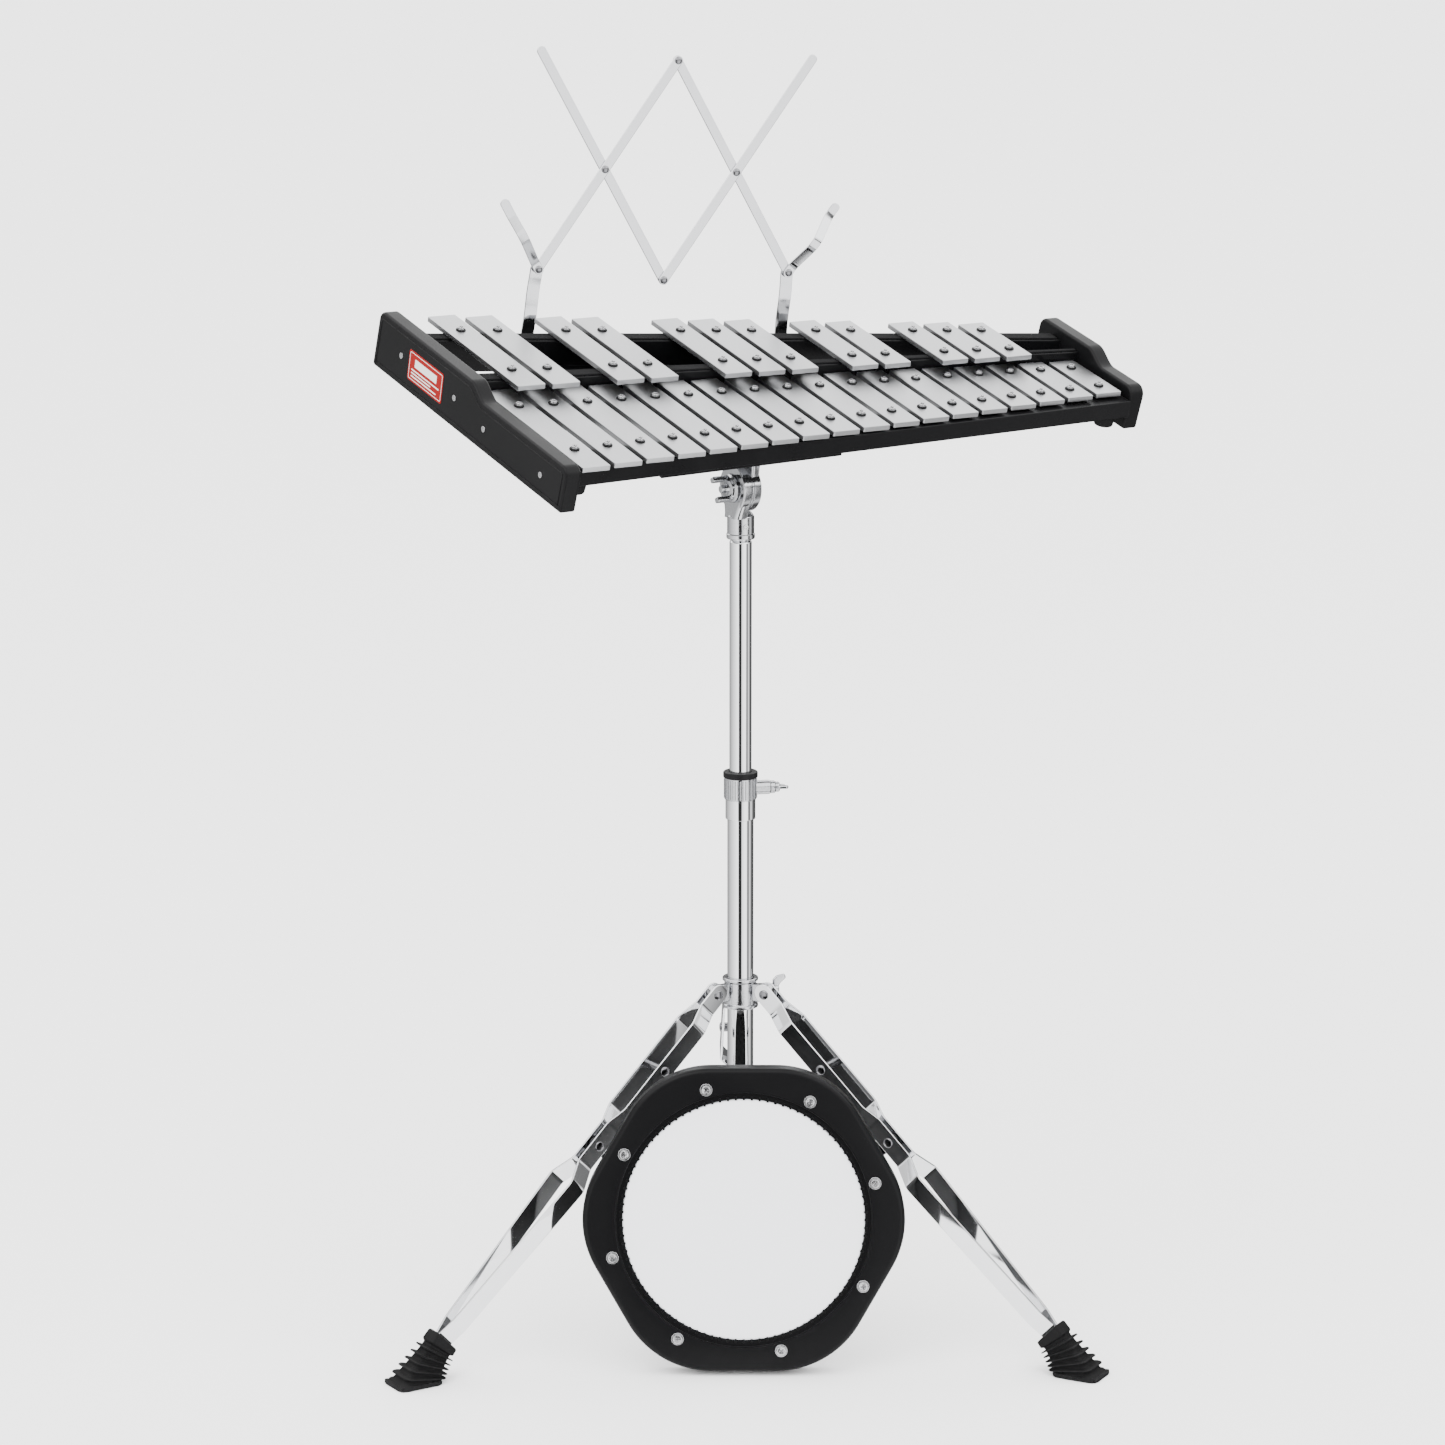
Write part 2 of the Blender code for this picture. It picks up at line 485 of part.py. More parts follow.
def build_post(stand, pivot, mats):
    inner = LOWER_RADIUS - LOWER_WALL
    bush = UPPER_RADIUS + RUNNING
    outer = [(LOWER_RADIUS, LOWER_BASE), (LOWER_RADIUS, CLAMP_BASE), (CLAMP_SLEEVE, CLAMP_BASE),
             (CLAMP_SLEEVE, CLAMP_SHOULDER), (CLAMP_BODY, CLAMP_SHOULDER), (CLAMP_BODY, CLAMP_RING),
             (CLAMP_RING_RADIUS, CLAMP_RING), (CLAMP_RING_RADIUS, CLAMP_TOP)]
    bore = [(bush, CLAMP_TOP), (bush, CLAMP_SHOULDER), (inner, CLAMP_SHOULDER - BORE_TAPER),
            (inner, LOWER_BASE)]
    lower = make("lower_tube", turned(outer + bore, 32), mats["chrome"], stand)

    collar_half = EAR_HEIGHT / 2
    collar_base, collar_top = BRACE_PIVOT_HEIGHT - collar_half, BRACE_PIVOT_HEIGHT + collar_half
    join(lower, turned(rectangle(LOWER_RADIUS - BITE, COLLAR_RADIUS, collar_base, collar_top), 32))
    ear_gap = BRACE_THICK / 2 + GAP
    reach = BRACE_PIVOT_RADIUS + EAR_HEIGHT / 2
    for angle in leg_angles():
        turn = Matrix.Rotation(angle, 4, "Z")
        for side in (-1, 1):
            y0, y1 = sorted((side * ear_gap, side * (ear_gap + EAR_THICK)))
            ear = box(LOWER_RADIUS + BITE, reach, y0, y1, collar_base + BITE, collar_top - BITE)
            join(lower, moved(ear, turn))
        half = ear_gap + EAR_THICK - BITE
        pin = rod(PIN_RADIUS, (BRACE_PIVOT_RADIUS, -half, BRACE_PIVOT_HEIGHT),
                  (BRACE_PIVOT_RADIUS, half, BRACE_PIVOT_HEIGHT))
        join(lower, moved(pin, turn))

    clamp_turn = Matrix.Rotation(CLAMP_BOLT_ANGLE, 4, "Z")
    clamp_mid = (CLAMP_SHOULDER + CLAMP_RING) / 2
    boss_end = CLAMP_BODY + BOSS_REACH
    join(lower, moved(rod(BOSS_RADIUS, (CLAMP_BODY - ROOT, 0, clamp_mid), (boss_end, 0, clamp_mid)),
                      clamp_turn))
    hole = rod(BOLT_RADIUS + RUNNING, (bush - THROUGH, 0, clamp_mid), (boss_end + THROUGH, 0, clamp_mid))
    cut(lower, moved(hole, clamp_turn))
    seat = clamp_turn @ Matrix.Translation((boss_end + GAP, 0, clamp_mid)) @ Matrix.Rotation(pi / 2, 4, "Y")
    build_wing_bolt("height_wing_bolt", stand, seat @ Matrix.Rotation(CLAMP_BOLT_TURN, 4, "Z"),
                    SMALL_WING, BOLT_RADIUS, boss_end - UPPER_RADIUS, mats)

    neck_top = SOCKET_BASE + NECK_DEPTH
    inside = UPPER_RADIUS - UPPER_WALL - NECK_WALL_EXTRA
    neck_base = SOCKET_BASE - THROUGH
    tube = [(UPPER_RADIUS, UPPER_BASE), (UPPER_RADIUS, neck_base - NECK_RISE), (NECK_RADIUS, neck_base),
            (NECK_RADIUS, neck_top), (inside, neck_top), (inside, UPPER_BASE)]
    make("upper_tube", turned(tube, 32), mats["chrome"], stand)

    bore, roof = NECK_RADIUS + RUNNING, neck_top + THROUGH
    cup = [(bore, SOCKET_BASE), (SOCKET_RADIUS, SOCKET_BASE), (SOCKET_RADIUS, SOCKET_TOP),
           (SOCKET_RIM, SOCKET_TOP), (SOCKET_RIM, roof), (bore, roof)]
    socket = make("tilter_socket", turned(cup, 32), mats["chrome"], stand)
    yaw = Matrix.Rotation(TABLE_YAW, 4, "Z")
    disc_gap = GAP / 2
    near, far = -disc_gap - DISC_THICK, -disc_gap
    web_half = SOCKET_RADIUS * WEB_SHARE
    web = box(near, far, -web_half, web_half, SOCKET_TOP - ROOT, PIVOT_HEIGHT)
    disc = rod(DISC_RADIUS, (near + STEP, 0, PIVOT_HEIGHT), (far - STEP, 0, PIVOT_HEIGHT), 32)
    join(socket, moved(web, yaw), moved(disc, yaw))
    clearance = TILT_PIN_RADIUS + RUNNING
    hole = rod(clearance, (near - THROUGH, 0, PIVOT_HEIGHT), (far + THROUGH, 0, PIVOT_HEIGHT))
    cut(socket, moved(hole, yaw))

    table_down = Matrix.Rotation(TABLE_TILT, 4, "X")
    disc_end = disc_gap + DISC_THICK
    top = TILT_DROP - GAP
    arm_half = DISC_RADIUS * ARM_SHARE
    bracket = make("tilter_bracket", rod(DISC_RADIUS, (disc_gap, 0, 0), (disc_end, 0, 0), 32), mats["chrome"],
                   pivot)
    arm = box(disc_gap + STEP, disc_end - STEP, -arm_half, arm_half, 0.0, top - BITE)
    flange = box(-FLANGE_LENGTH / 2, FLANGE_LENGTH / 2, -FLANGE_WIDTH / 2, FLANGE_WIDTH / 2,
                 top - FLANGE_THICK, top)
    join(bracket, moved(arm, table_down), moved(flange, table_down))
    cut(bracket, rod(clearance, (-THROUGH, 0, 0), (disc_end + THROUGH, 0, 0)))

    bolt_seat = Matrix.Translation((near - GAP, 0, 0)) @ Matrix.Rotation(-pi / 2, 4, "Y")
    build_wing_bolt("tilter_wing_bolt", pivot, bolt_seat @ Matrix.Rotation(TILT_BOLT_TURN, 4, "Z"),
                    LARGE_WING, TILT_PIN_RADIUS, 2 * DISC_THICK + TILT_BOLT_PAST, mats)


# ---- tripod -------------------------------------------------------------------------------------
def leg_angles():
    """Directions of the left, right and rear legs about the tube."""
    return [radians(-150) + LEG_TURN, radians(-30) + LEG_TURN, radians(90) + LEG_TURN]


def strip_path():
    """Middle line of one leg strip: distance along the leg, distance to the side."""
    foot = LEG_LENGTH - TIP_SHORT
    tip = TIP_GAP + STRIP_THICK / 2
    return [(-STRIP_TAIL, PINCH), (PINCH_END, PINCH), (UPPER_BOW_START, UPPER_BOW),
            (KNEE - KNEE_FLAT - KNEE_IN, UPPER_BOW), (KNEE - KNEE_FLAT, PINCH), (KNEE + KNEE_FLAT, PINCH),
            (KNEE + KNEE_FLAT + KNEE_OUT, LOWER_BOW), (foot - SHIN_END, PINCH + SHIN_SPREAD),
            (foot - SHIN_FLAT, tip), (foot, tip)]


def end_trimmer(radius):
    """Cutter that leaves a half-round end about the origin on a strip running along +X."""
    reach = 4 * radius
    arc = [(radius * cos(a), radius * sin(a)) for a in (pi / 2 + pi * k / 12 for k in range(13))]
    return plate([(0.0, reach)] + arc + [(0.0, -reach), (-reach, -reach), (-reach, reach)], (), -reach, reach)


def leg_seat(angle):
    """Leg frame: +X runs down the leg from its pivot, Y is the pivot's axis."""
    return (Matrix.Rotation(angle, 4, "Z") @ Matrix.Translation((LEG_PIVOT_RADIUS, 0, LEG_PIVOT_HEIGHT))
            @ Matrix.Rotation(LEG_SLOPE, 4, "Y"))


def build_leg(name, angle, hub_frame, mats):
    seat = leg_seat(angle)
    path = strip_path()
    leg = make(f"leg_{name}", ribbon(path, STRIP_WIDTH, STRIP_THICK), mats["chrome"], hub_frame, seat)
    join(leg, ribbon([(x, -y) for x, y in path], STRIP_WIDTH, STRIP_THICK))
    half = PINCH + STRIP_THICK / 2 + RIVET_PROUD
    join(leg, rod(PIN_RADIUS, (0, -half, 0), (0, half, 0)))
    spacer = UPPER_BOW + STRIP_THICK / 2 + RIVET_PROUD
    middle = (UPPER_BOW_START + KNEE - KNEE_FLAT - KNEE_IN) / 2
    join(leg, rod(PIN_RADIUS, (middle, -spacer, 0), (middle, spacer, 0)))
    cut(leg, moved(end_trimmer(STRIP_WIDTH / 2 - STRIP_TRIM), Matrix.Rotation(pi / 2, 4, "X")))
    block_end, block_half = path[-1][0] - STRIP_THICK, STRIP_WIDTH / 2 - STRIP_THICK / 2
    join(leg, box(block_end - TIP_BLOCK, block_end, -STRIP_THICK, STRIP_THICK, -block_half, block_half))
    build_foot(name, angle, hub_frame, mats)


def build_foot(name, angle, hub_frame, mats):
    """Ribbed rubber boot: square to the leg at its collar, flat on the floor at its sole."""
    turn = Matrix.Rotation(angle, 4, "Z")
    axis = Vector((cos(LEG_SLOPE), 0, -sin(LEG_SLOPE)))
    pivot = Vector((LEG_PIVOT_RADIUS, 0, LEG_PIVOT_HEIGHT))
    collar = pivot + axis * (LEG_LENGTH - FOOT_LENGTH)
    sole = Vector((FOOT_RADIUS, 0, 0))
    core = STRIP_THICK + TIP_GAP
    long0 = STRIP_WIDTH / 2 + FOOT_WALL
    wide0 = core + FOOT_WALL

    def ring(share, extra):
        lean = (1 - share) * (pi / 2 - LEG_SLOPE)
        centre = collar.lerp(sole, share)
        along = Vector((cos(lean), 0, sin(lean)))
        half_long = long0 + (SOLE_LENGTH / 2 - long0) * share ** 2 + extra
        half_wide = wide0 + (SOLE_WIDTH / 2 - wide0) * share ** 2 + extra
        soft = min(half_long, half_wide) * FOOT_SOFT
        outline = rounded([(-half_long, -half_wide), (half_long, -half_wide), (half_long, half_wide),
                           (-half_long, half_wide)], [soft] * 4, 3)
        return [centre + along * x + Vector((0, y, 0)) for x, y in outline]

    rings = [ring(0.0, CUFF_PROUD), ring(CUFF_SHARE, CUFF_PROUD), ring(CUFF_SHARE + CUFF_STEP, 0.0)]
    for k in range(FOOT_RIBS):
        share = RIB_FIRST + RIB_PITCH * k
        rings += [ring(share + RIB_RISE, 0.0), ring(share, RIB_PROUD), ring(share + RIB_FLAT, RIB_PROUD),
                  ring(share + RIB_FALL, 0.0)]
    sole_share = 1 - SOLE_THICK / collar.z
    rings += [ring(sole_share - CUFF_STEP, 0.0), ring(sole_share, SOLE_PROUD), ring(1.0, SOLE_PROUD)]
    foot = make(f"foot_{name}", skinned(rings), mats["rubber"], hub_frame, turn)
    half = STRIP_WIDTH / 2 + GAP
    pocket = box(LEG_LENGTH - FOOT_LENGTH - POCKET_PAST, LEG_LENGTH - TIP_SHORT + GAP, -core - GAP,
                 core + GAP, -half, half)
    cut(foot, moved(pocket, Matrix.Translation(pivot) @ Matrix.Rotation(LEG_SLOPE, 4, "Y")))


def build_hub(hub_frame, mats):
    bore = LOWER_RADIUS + RUNNING
    profile = [(bore, HUB_BASE), (HUB_FLANGE_RADIUS, HUB_BASE), (HUB_FLANGE_RADIUS, HUB_BASE + HUB_FLANGE),
               (HUB_RADIUS, HUB_BASE + HUB_FLANGE), (HUB_RADIUS, HUB_TOP - HUB_FLANGE),
               (HUB_FLANGE_RADIUS, HUB_TOP - HUB_FLANGE), (HUB_FLANGE_RADIUS, HUB_TOP), (bore, HUB_TOP)]
    hub = make("leg_hub", turned(profile, 32), mats["chrome"], hub_frame)
    for angle in leg_angles():
        turn = Matrix.Rotation(angle, 4, "Z")
        reach = LEG_PIVOT_RADIUS + LUG_HEIGHT / 2
        end = LUG_HEIGHT * LUG_ROUND
        outline = rounded(rectangle(HUB_RADIUS - ROOT, reach, -LUG_HEIGHT / 2, LUG_HEIGHT / 2),
                          [0.0, end, end, 0.0], 6)
        hole = circle(PIN_RADIUS + RUNNING, 16, (LEG_PIVOT_RADIUS, 0.0))
        upright = Matrix.Translation((0, 0, LEG_PIVOT_HEIGHT)) @ Matrix.Rotation(pi / 2, 4, "X")
        join(hub, moved(plate(outline, [hole], -LUG_THICK / 2, LUG_THICK / 2), turn @ upright))
    turn = Matrix.Rotation(HUB_BOLT_ANGLE, 4, "Z")
    middle = (HUB_BASE + HUB_TOP) / 2
    boss_end = HUB_FLANGE_RADIUS + BOSS_REACH
    join(hub, moved(rod(BOSS_RADIUS, (HUB_RADIUS - ROOT, 0, middle), (boss_end, 0, middle)), turn))
    hole = rod(BOLT_RADIUS + RUNNING, (bore - THROUGH, 0, middle), (boss_end + THROUGH, 0, middle))
    cut(hub, moved(hole, turn))
    seat = turn @ Matrix.Translation((boss_end + GAP, 0, middle)) @ Matrix.Rotation(pi / 2, 4, "Y")
    build_wing_bolt("hub_wing_bolt", hub_frame, seat, SMALL_WING, BOLT_RADIUS, boss_end - bore, mats)


def build_brace(name, angle, stand, mats):
    turn = Matrix.Rotation(angle, 4, "Z")
    knee = Vector((LEG_PIVOT_RADIUS + KNEE * cos(LEG_SLOPE), 0, LEG_PIVOT_HEIGHT - KNEE * sin(LEG_SLOPE)))
    low = Vector((BRACE_PIVOT_RADIUS, 0, BRACE_PIVOT_HEIGHT))
    run = (knee - low).length
    rise = atan2(knee.z - low.z, knee.x - low.x)
    end = BRACE_WIDTH / 2
    outline = rounded(rectangle(-end, run + end, -end, end), [end * END_ROUND] * 4, 6)
    hole = circle(PIN_RADIUS + RUNNING, 16)
    place = (turn @ Matrix.Translation(low) @ Matrix.Rotation(pi / 2, 4, "X") @ Matrix.Rotation(rise, 4, "Z"))
    make(f"brace_{name}", plate(outline, [hole], -BRACE_THICK / 2, BRACE_THICK / 2), mats["dark_steel"],
         stand, place)


# ---- music rack ---------------------------------------------------------------------------------
def build_rack(table, mats):
    """Two crossed pairs of strips on two posts; layers go back to front in steps of one strip."""
    slope = atan2(TREBLE_REAR - BASS_REAR, 2 * PANEL_INSIDE)
    foot = Vector((0, rear_face(0) - RACK_BEHIND, REAR_RAIL_TOP + GAP))
    rack = frame_empty("rack_frame", table, Matrix.Translation(foot) @ Matrix.Rotation(slope, 4, "Z")
                       @ Matrix.Translation((RACK_MID, 0, 0)) @ Matrix.Rotation(-RACK_LEAN, 4, "X"))
    layer = LINK_THICK + GAP
    half_x, half_z = RACK_CELL * sin(RACK_ANGLE), RACK_CELL * cos(RACK_ANGLE)
    foot_x, foot_z = RACK_FOOT_LINK * sin(RACK_ANGLE), RACK_FOOT_LINK * cos(RACK_ANGLE)
    cross_z = RACK_PIVOT_HEIGHT + foot_z
    post_x = half_x + foot_x
    flip = Matrix.Rotation(pi / 2, 4, "X")          # plate frame (x, y) to rack frame (x, z)

    def strip(name, start, end, depth, tail, tip, holes):
        """Strip from start to end in the rack plane; depth counts layers towards the player."""
        run = hypot(end[0] - start[0], end[1] - start[1])
        angle = atan2(end[1] - start[1], end[0] - start[0])
        half = LINK_WIDTH / 2
        outline = rounded(rectangle(-tail, run + tip, -half, half), [half * END_ROUND] * 4, 4)
        rings = [circle(RIVET_RADIUS + RUNNING, 12, (at, 0.0)) for at in holes]
        place = (Matrix.Translation((start[0], -depth * layer, start[1])) @ flip
                 @ Matrix.Rotation(angle, 4, "Z"))
        return make(name, plate(outline, rings, -LINK_THICK / 2, LINK_THICK / 2), mats["bright_steel"], rack,
                    place)

    end_pad = LINK_WIDTH / 2
    top, bottom = (0.0, cross_z + half_z), (0.0, cross_z - half_z)
    crosses = [(-half_x, cross_z), (half_x, cross_z)]
    posts = [(-post_x, RACK_PIVOT_HEIGHT), (post_x, RACK_PIVOT_HEIGHT)]
    tips = [(-2 * half_x, cross_z + half_z), (2 * half_x, cross_z + half_z)]
    front, back = 2, 1
    full = RACK_CELL + RACK_FOOT_LINK
    one = strip("rack_strip_1", posts[0], top, front, end_pad, end_pad, [])
    two = strip("rack_strip_2", bottom, tips[0], back, end_pad, RACK_TIP, [RACK_CELL])
    three = strip("rack_strip_3", posts[1], top, back, end_pad, end_pad, [RACK_FOOT_LINK, full])
    four = strip("rack_strip_4", bottom, tips[1], front, end_pad, RACK_TIP, [])

    def rivet(at, layers_back):
        """Rivet fixed in a front strip at one distance along it, headed behind the layers it holds."""
        tail = layers_back * layer + LINK_THICK / 2 + GAP
        shaft = rod(RIVET_RADIUS, (at, 0, LINK_THICK / 2 - BITE), (at, 0, -tail - BITE), 12)
        head = rod(RIVET_HEAD, (at, 0, -tail), (at, 0, -tail - RIVET_HEAD_THICK), 12)
        return shaft, head

    join(one, *rivet(0.0, 2))
    join(one, *rivet(RACK_FOOT_LINK, 1))
    join(one, *rivet(full, 1))
    join(four, *rivet(RACK_CELL, 1))
    join(three, *rivet(0.0, 1))

    for side, name in ((-1, "left"), (1, "right")):
        base_x = side * post_x
        slim = POST_WIDTH / 2
        outline = rounded(rectangle(-slim, slim, POST_FOOT_GAP, RACK_PIVOT_HEIGHT + slim),
                          [0.0, 0.0, slim * END_ROUND, slim * END_ROUND], 5)
        hole = circle(RIVET_RADIUS + RUNNING, 12, (0.0, RACK_PIVOT_HEIGHT))
        place = Matrix.Translation((base_x, 0, 0)) @ flip
        make(f"rack_post_{name}", plate(outline, [hole], -LINK_THICK / 2, LINK_THICK / 2),
             mats["bright_steel"], rack, place)
        depth = front + 1 if side < 0 else front
        lean = Matrix.Rotation(pi / 2 - side * HOLDER_SPLAY, 4, "Z")
        seat = Matrix.Translation((base_x, -depth * layer, RACK_PIVOT_HEIGHT)) @ flip @ lean
        build_holder(rack, f"page_holder_{name}", seat, mats)


def build_holder(rack, name, seat, mats):
    """Page holder: a strip that starts flat at its rivet and waves forwards."""
    steps = 10
    path = [(-HOLDER_TAIL, 0.0), (HOLDER_EYE, 0.0)]
    for s in range(1, steps + 1):
        share = s / steps
        forward = HOLDER_FORWARD * (1 - cos(HOLDER_WAVES * pi * share)) / 2
        path.append((HOLDER_EYE + (HOLDER_REACH - HOLDER_EYE) * share, forward))
    make(name, ribbon(path, LINK_WIDTH, LINK_THICK), mats["bright_steel"], rack,
         seat @ Matrix.Rotation(pi / 2, 4, "X"))


# ---- practice pad -------------------------------------------------------------------------------
def pad_back():
    """Where the pad's back plane meets the floor, so that the pad just clears the front legs."""
    samples = 12
    found = []
    for angle in leg_angles()[:2]:
        seat = leg_seat(angle)
        path = [Vector((x, side * y, 0.0)) for side in (-1, 1) for x, y in strip_path()]
        for start, end in zip(path, path[1:]):
            if (end - start).x < 0:
                continue
            for s in range(samples + 1):
                middle = start.lerp(end, s / samples)
                for edge_y in (-STRIP_THICK / 2, STRIP_THICK / 2):
                    for edge_z in (-STRIP_WIDTH / 2, STRIP_WIDTH / 2):
                        point = seat @ (middle + Vector((0.0, edge_y, edge_z)))
                        height = point.z / cos(PAD_LEAN) - PAD_APOTHEM
                        half = (PAD_APOTHEM - abs(height) * sin(pi / 6)) / cos(pi / 6)
                        if abs(height) < PAD_APOTHEM and abs(point.x - PAD_X) < half:
                            found.append(point.y - point.z * tan(PAD_LEAN))
    return min(found) - PAD_REST_GAP


def build_pad(stand, mats):
    corner = PAD_APOTHEM / cos(pi / 6)
    hexagon = [(corner * cos(k * pi / 3), corner * sin(k * pi / 3)) for k in range(6)]
    outline = rounded(hexagon, [PAD_ROUND] * 6, 10)
    pad = frame_empty("pad_frame", stand, Matrix.Translation((PAD_X, pad_back(), PAD_LIFT))
                      @ Matrix.Rotation(-PAD_LEAN, 4, "X") @ Matrix.Translation((0, 0, PAD_APOTHEM))
                      @ Matrix.Rotation(pi / 2, 4, "X"))
    shell = make("pad_shell", plate(outline, (), 0.0, PAD_THICK - RIM_PROUD), mats["abs"], pad)
    rim = plate(circle(RIM_RADIUS + RIM_LAND, 64), (), PAD_THICK - RIM_PROUD - ROOT, PAD_THICK)
    join(shell, rim)
    recess = PAD_THICK - HEAD_RECESS - HEAD_THICK - GAP
    cut(shell, plate(circle(HEAD_RADIUS + GAP, 64), (), recess, PAD_THICK + THROUGH))
    cut(shell, plate(circle(RIM_RADIUS, 64), (), PAD_THICK - HEAD_RECESS, PAD_THICK + THROUGH))
    head = plate(circle(HEAD_RADIUS, 64), (), recess + GAP, PAD_THICK - HEAD_RECESS)
    make("pad_head", head, mats["head"], pad)


# ---- assembly -----------------------------------------------------------------------------------
def centre_on_floor(root):
    """Move the whole object so that the origin is the bottom centre of its bounding box."""
    bpy.context.view_layer.update()
    graph = bpy.context.evaluated_depsgraph_get()
    low, high = Vector((1e9,) * 3), Vector((-1e9,) * 3)
    for obj in bpy.data.objects:
        if obj.type != "MESH" or obj.hide_render:
            continue
        solid = obj.evaluated_get(graph)
        for vertex in solid.data.vertices:
            point = solid.matrix_world @ vertex.co
            low = Vector(map(min, low, point))
            high = Vector(map(max, high, point))
    root.location = (-(low.x + high.x) / 2, -(low.y + high.y) / 2, -low.z)
    bpy.context.view_layer.update()


def main():
    for obj in list(bpy.data.objects):
        bpy.data.objects.remove(obj)
    mats = {
        "bar": finish("satin_aluminium", (0.62, 0.62, 0.63), 0.32, 1.0),
        "vinyl": finish("black_vinyl", (0.012, 0.012, 0.013), 0.42, 0.0),
        "lacquer": finish("black_lacquer", (0.01, 0.01, 0.011), 0.2, 0.0),
        "chrome": finish("chrome", (0.82, 0.82, 0.84), 0.06, 1.0),
        "bright_steel": finish("bright_steel", (0.8, 0.8, 0.81), 0.12, 1.0),
        "dark_steel": finish("dark_steel", (0.03, 0.03, 0.032), 0.35, 0.6),
        "rubber": finish("black_rubber", (0.012, 0.012, 0.012), 0.75, 0.0),
        "abs": finish("black_abs", (0.011, 0.011, 0.012), 0.38, 0.0),
        "head": finish("white_head", (0.86, 0.87, 0.9), 0.5, 0.0),
    }
    stand = frame_empty("stand", None, Matrix.Identity(4))
    pivot = frame_empty("tilt_axis", stand,
                        Matrix.Translation((0, 0, PIVOT_HEIGHT)) @ Matrix.Rotation(TABLE_YAW, 4, "Z"))
    board_base = RAIL_BASE - BOARD_PROUD
    hinge = Vector((*PIVOT_ON_TABLE, board_base - TILT_DROP))
    table = frame_empty("table", pivot, Matrix.Rotation(TABLE_TILT, 4, "X") @ Matrix.Translation(-hinge))
    hub_frame = frame_empty("hub_frame", stand, Matrix.Identity(4))

    build_bars(table, mats)
    build_frame(table, mats)
    build_post(stand, pivot, mats)
    build_hub(hub_frame, mats)
    for name, angle in zip(LEG_NAMES, leg_angles()):
        build_leg(name, angle, hub_frame, mats)
        build_brace(name, angle, stand, mats)
    build_rack(table, mats)
    build_pad(stand, mats)
    centre_on_floor(stand)


main()
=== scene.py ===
"""Looks of the bell set: a thirty-bar glockenspiel on its tilting tripod stand, with rack and pad.

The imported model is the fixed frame.  Every place comes from its joints, its mounts or the measured
extents of its nodes; the sizes kept here are those of details that the frame doesn't carry, such as
edge rounding, rivet heads and fins.  Lengths are in metres, built from millimetres.
"""
from __future__ import annotations

import json
import logging
from dataclasses import dataclass, field
from enum import Enum
from math import acos, atan2, cos, hypot, pi, radians, sin, sqrt, tan

import bmesh
import bpy
from mathutils import Matrix, Vector
from mathutils.geometry import tessellate_polygon


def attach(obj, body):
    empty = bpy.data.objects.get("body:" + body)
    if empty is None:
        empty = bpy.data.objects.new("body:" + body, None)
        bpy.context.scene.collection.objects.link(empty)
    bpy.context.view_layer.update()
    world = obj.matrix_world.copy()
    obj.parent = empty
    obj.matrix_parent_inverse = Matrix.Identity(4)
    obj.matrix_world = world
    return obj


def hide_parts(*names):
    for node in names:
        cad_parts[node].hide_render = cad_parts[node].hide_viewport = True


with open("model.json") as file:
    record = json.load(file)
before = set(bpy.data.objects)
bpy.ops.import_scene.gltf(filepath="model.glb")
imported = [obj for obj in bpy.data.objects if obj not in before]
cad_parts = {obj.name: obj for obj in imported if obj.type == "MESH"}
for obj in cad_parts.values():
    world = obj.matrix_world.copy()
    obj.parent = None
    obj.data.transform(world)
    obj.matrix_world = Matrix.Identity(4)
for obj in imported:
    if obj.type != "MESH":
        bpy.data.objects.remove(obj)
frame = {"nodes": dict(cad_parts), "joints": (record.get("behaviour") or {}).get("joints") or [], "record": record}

LOG = logging.getLogger("bell_set")
MM = 0.001

Point = tuple[float, float]
Outline = list[Point]


# ---- outlines -----------------------------------------------------------------------------------
def circle(radius: float, sides: int = 48, centre: Point = (0.0, 0.0)) -> Outline:
    """Regular polygon of many sides, anticlockwise."""
    return [(centre[0] + radius * cos(2 * pi * k / sides), centre[1] + radius * sin(2 * pi * k / sides))
            for k in range(sides)]


def rectangle(x0: float, x1: float, y0: float, y1: float) -> Outline:
    """Rectangle, anticlockwise from its lower left corner."""
    return [(x0, y0), (x1, y0), (x1, y1), (x0, y1)]


def rounded(points: Outline, radii: list[float], steps: int = 5) -> Outline:
    """Turns each corner of a closed outline into an arc.

    Args:
        points: The corners, anticlockwise.
        radii: One radius for each corner; 0 keeps it sharp.
        steps: Straight pieces in each arc.

    Returns:
        The outline with its arcs.
    """
    out: Outline = []
    for k, (corner, radius) in enumerate(zip(points, radii)):
        here = Vector(corner)
        before = (Vector(points[k - 1]) - here).normalized()
        after = (Vector(points[(k + 1) % len(points)]) - here).normalized()
        half = before.angle(after) / 2
        if radius <= 0 or half > radians(89):
            out.append(tuple(here))
            continue
        centre = here + (before + after).normalized() * radius / sin(half)
        start = here + before * radius / tan(half) - centre
        sweep = start.angle_signed(here + after * radius / tan(half) - centre)
        out += [tuple(centre + Matrix.Rotation(-sweep * s / steps, 2) @ start) for s in range(steps + 1)]
    return out


def inset(outline: Outline, distance: float) -> Outline:
    """Moves an anticlockwise outline inwards; a negative distance moves it outwards."""
    out: Outline = []
    for k, here in enumerate(outline):
        ahead = Vector(outline[(k + 1) % len(outline)]) - Vector(here)
        behind = Vector(here) - Vector(outline[k - 1])
        first = Vector((-behind.y, behind.x)).normalized()
        second = Vector((-ahead.y, ahead.x)).normalized()
        mitre = (first + second) / max(0.4, 1 + first.dot(second))
        out.append(tuple(Vector(here) + mitre * distance))
    return out


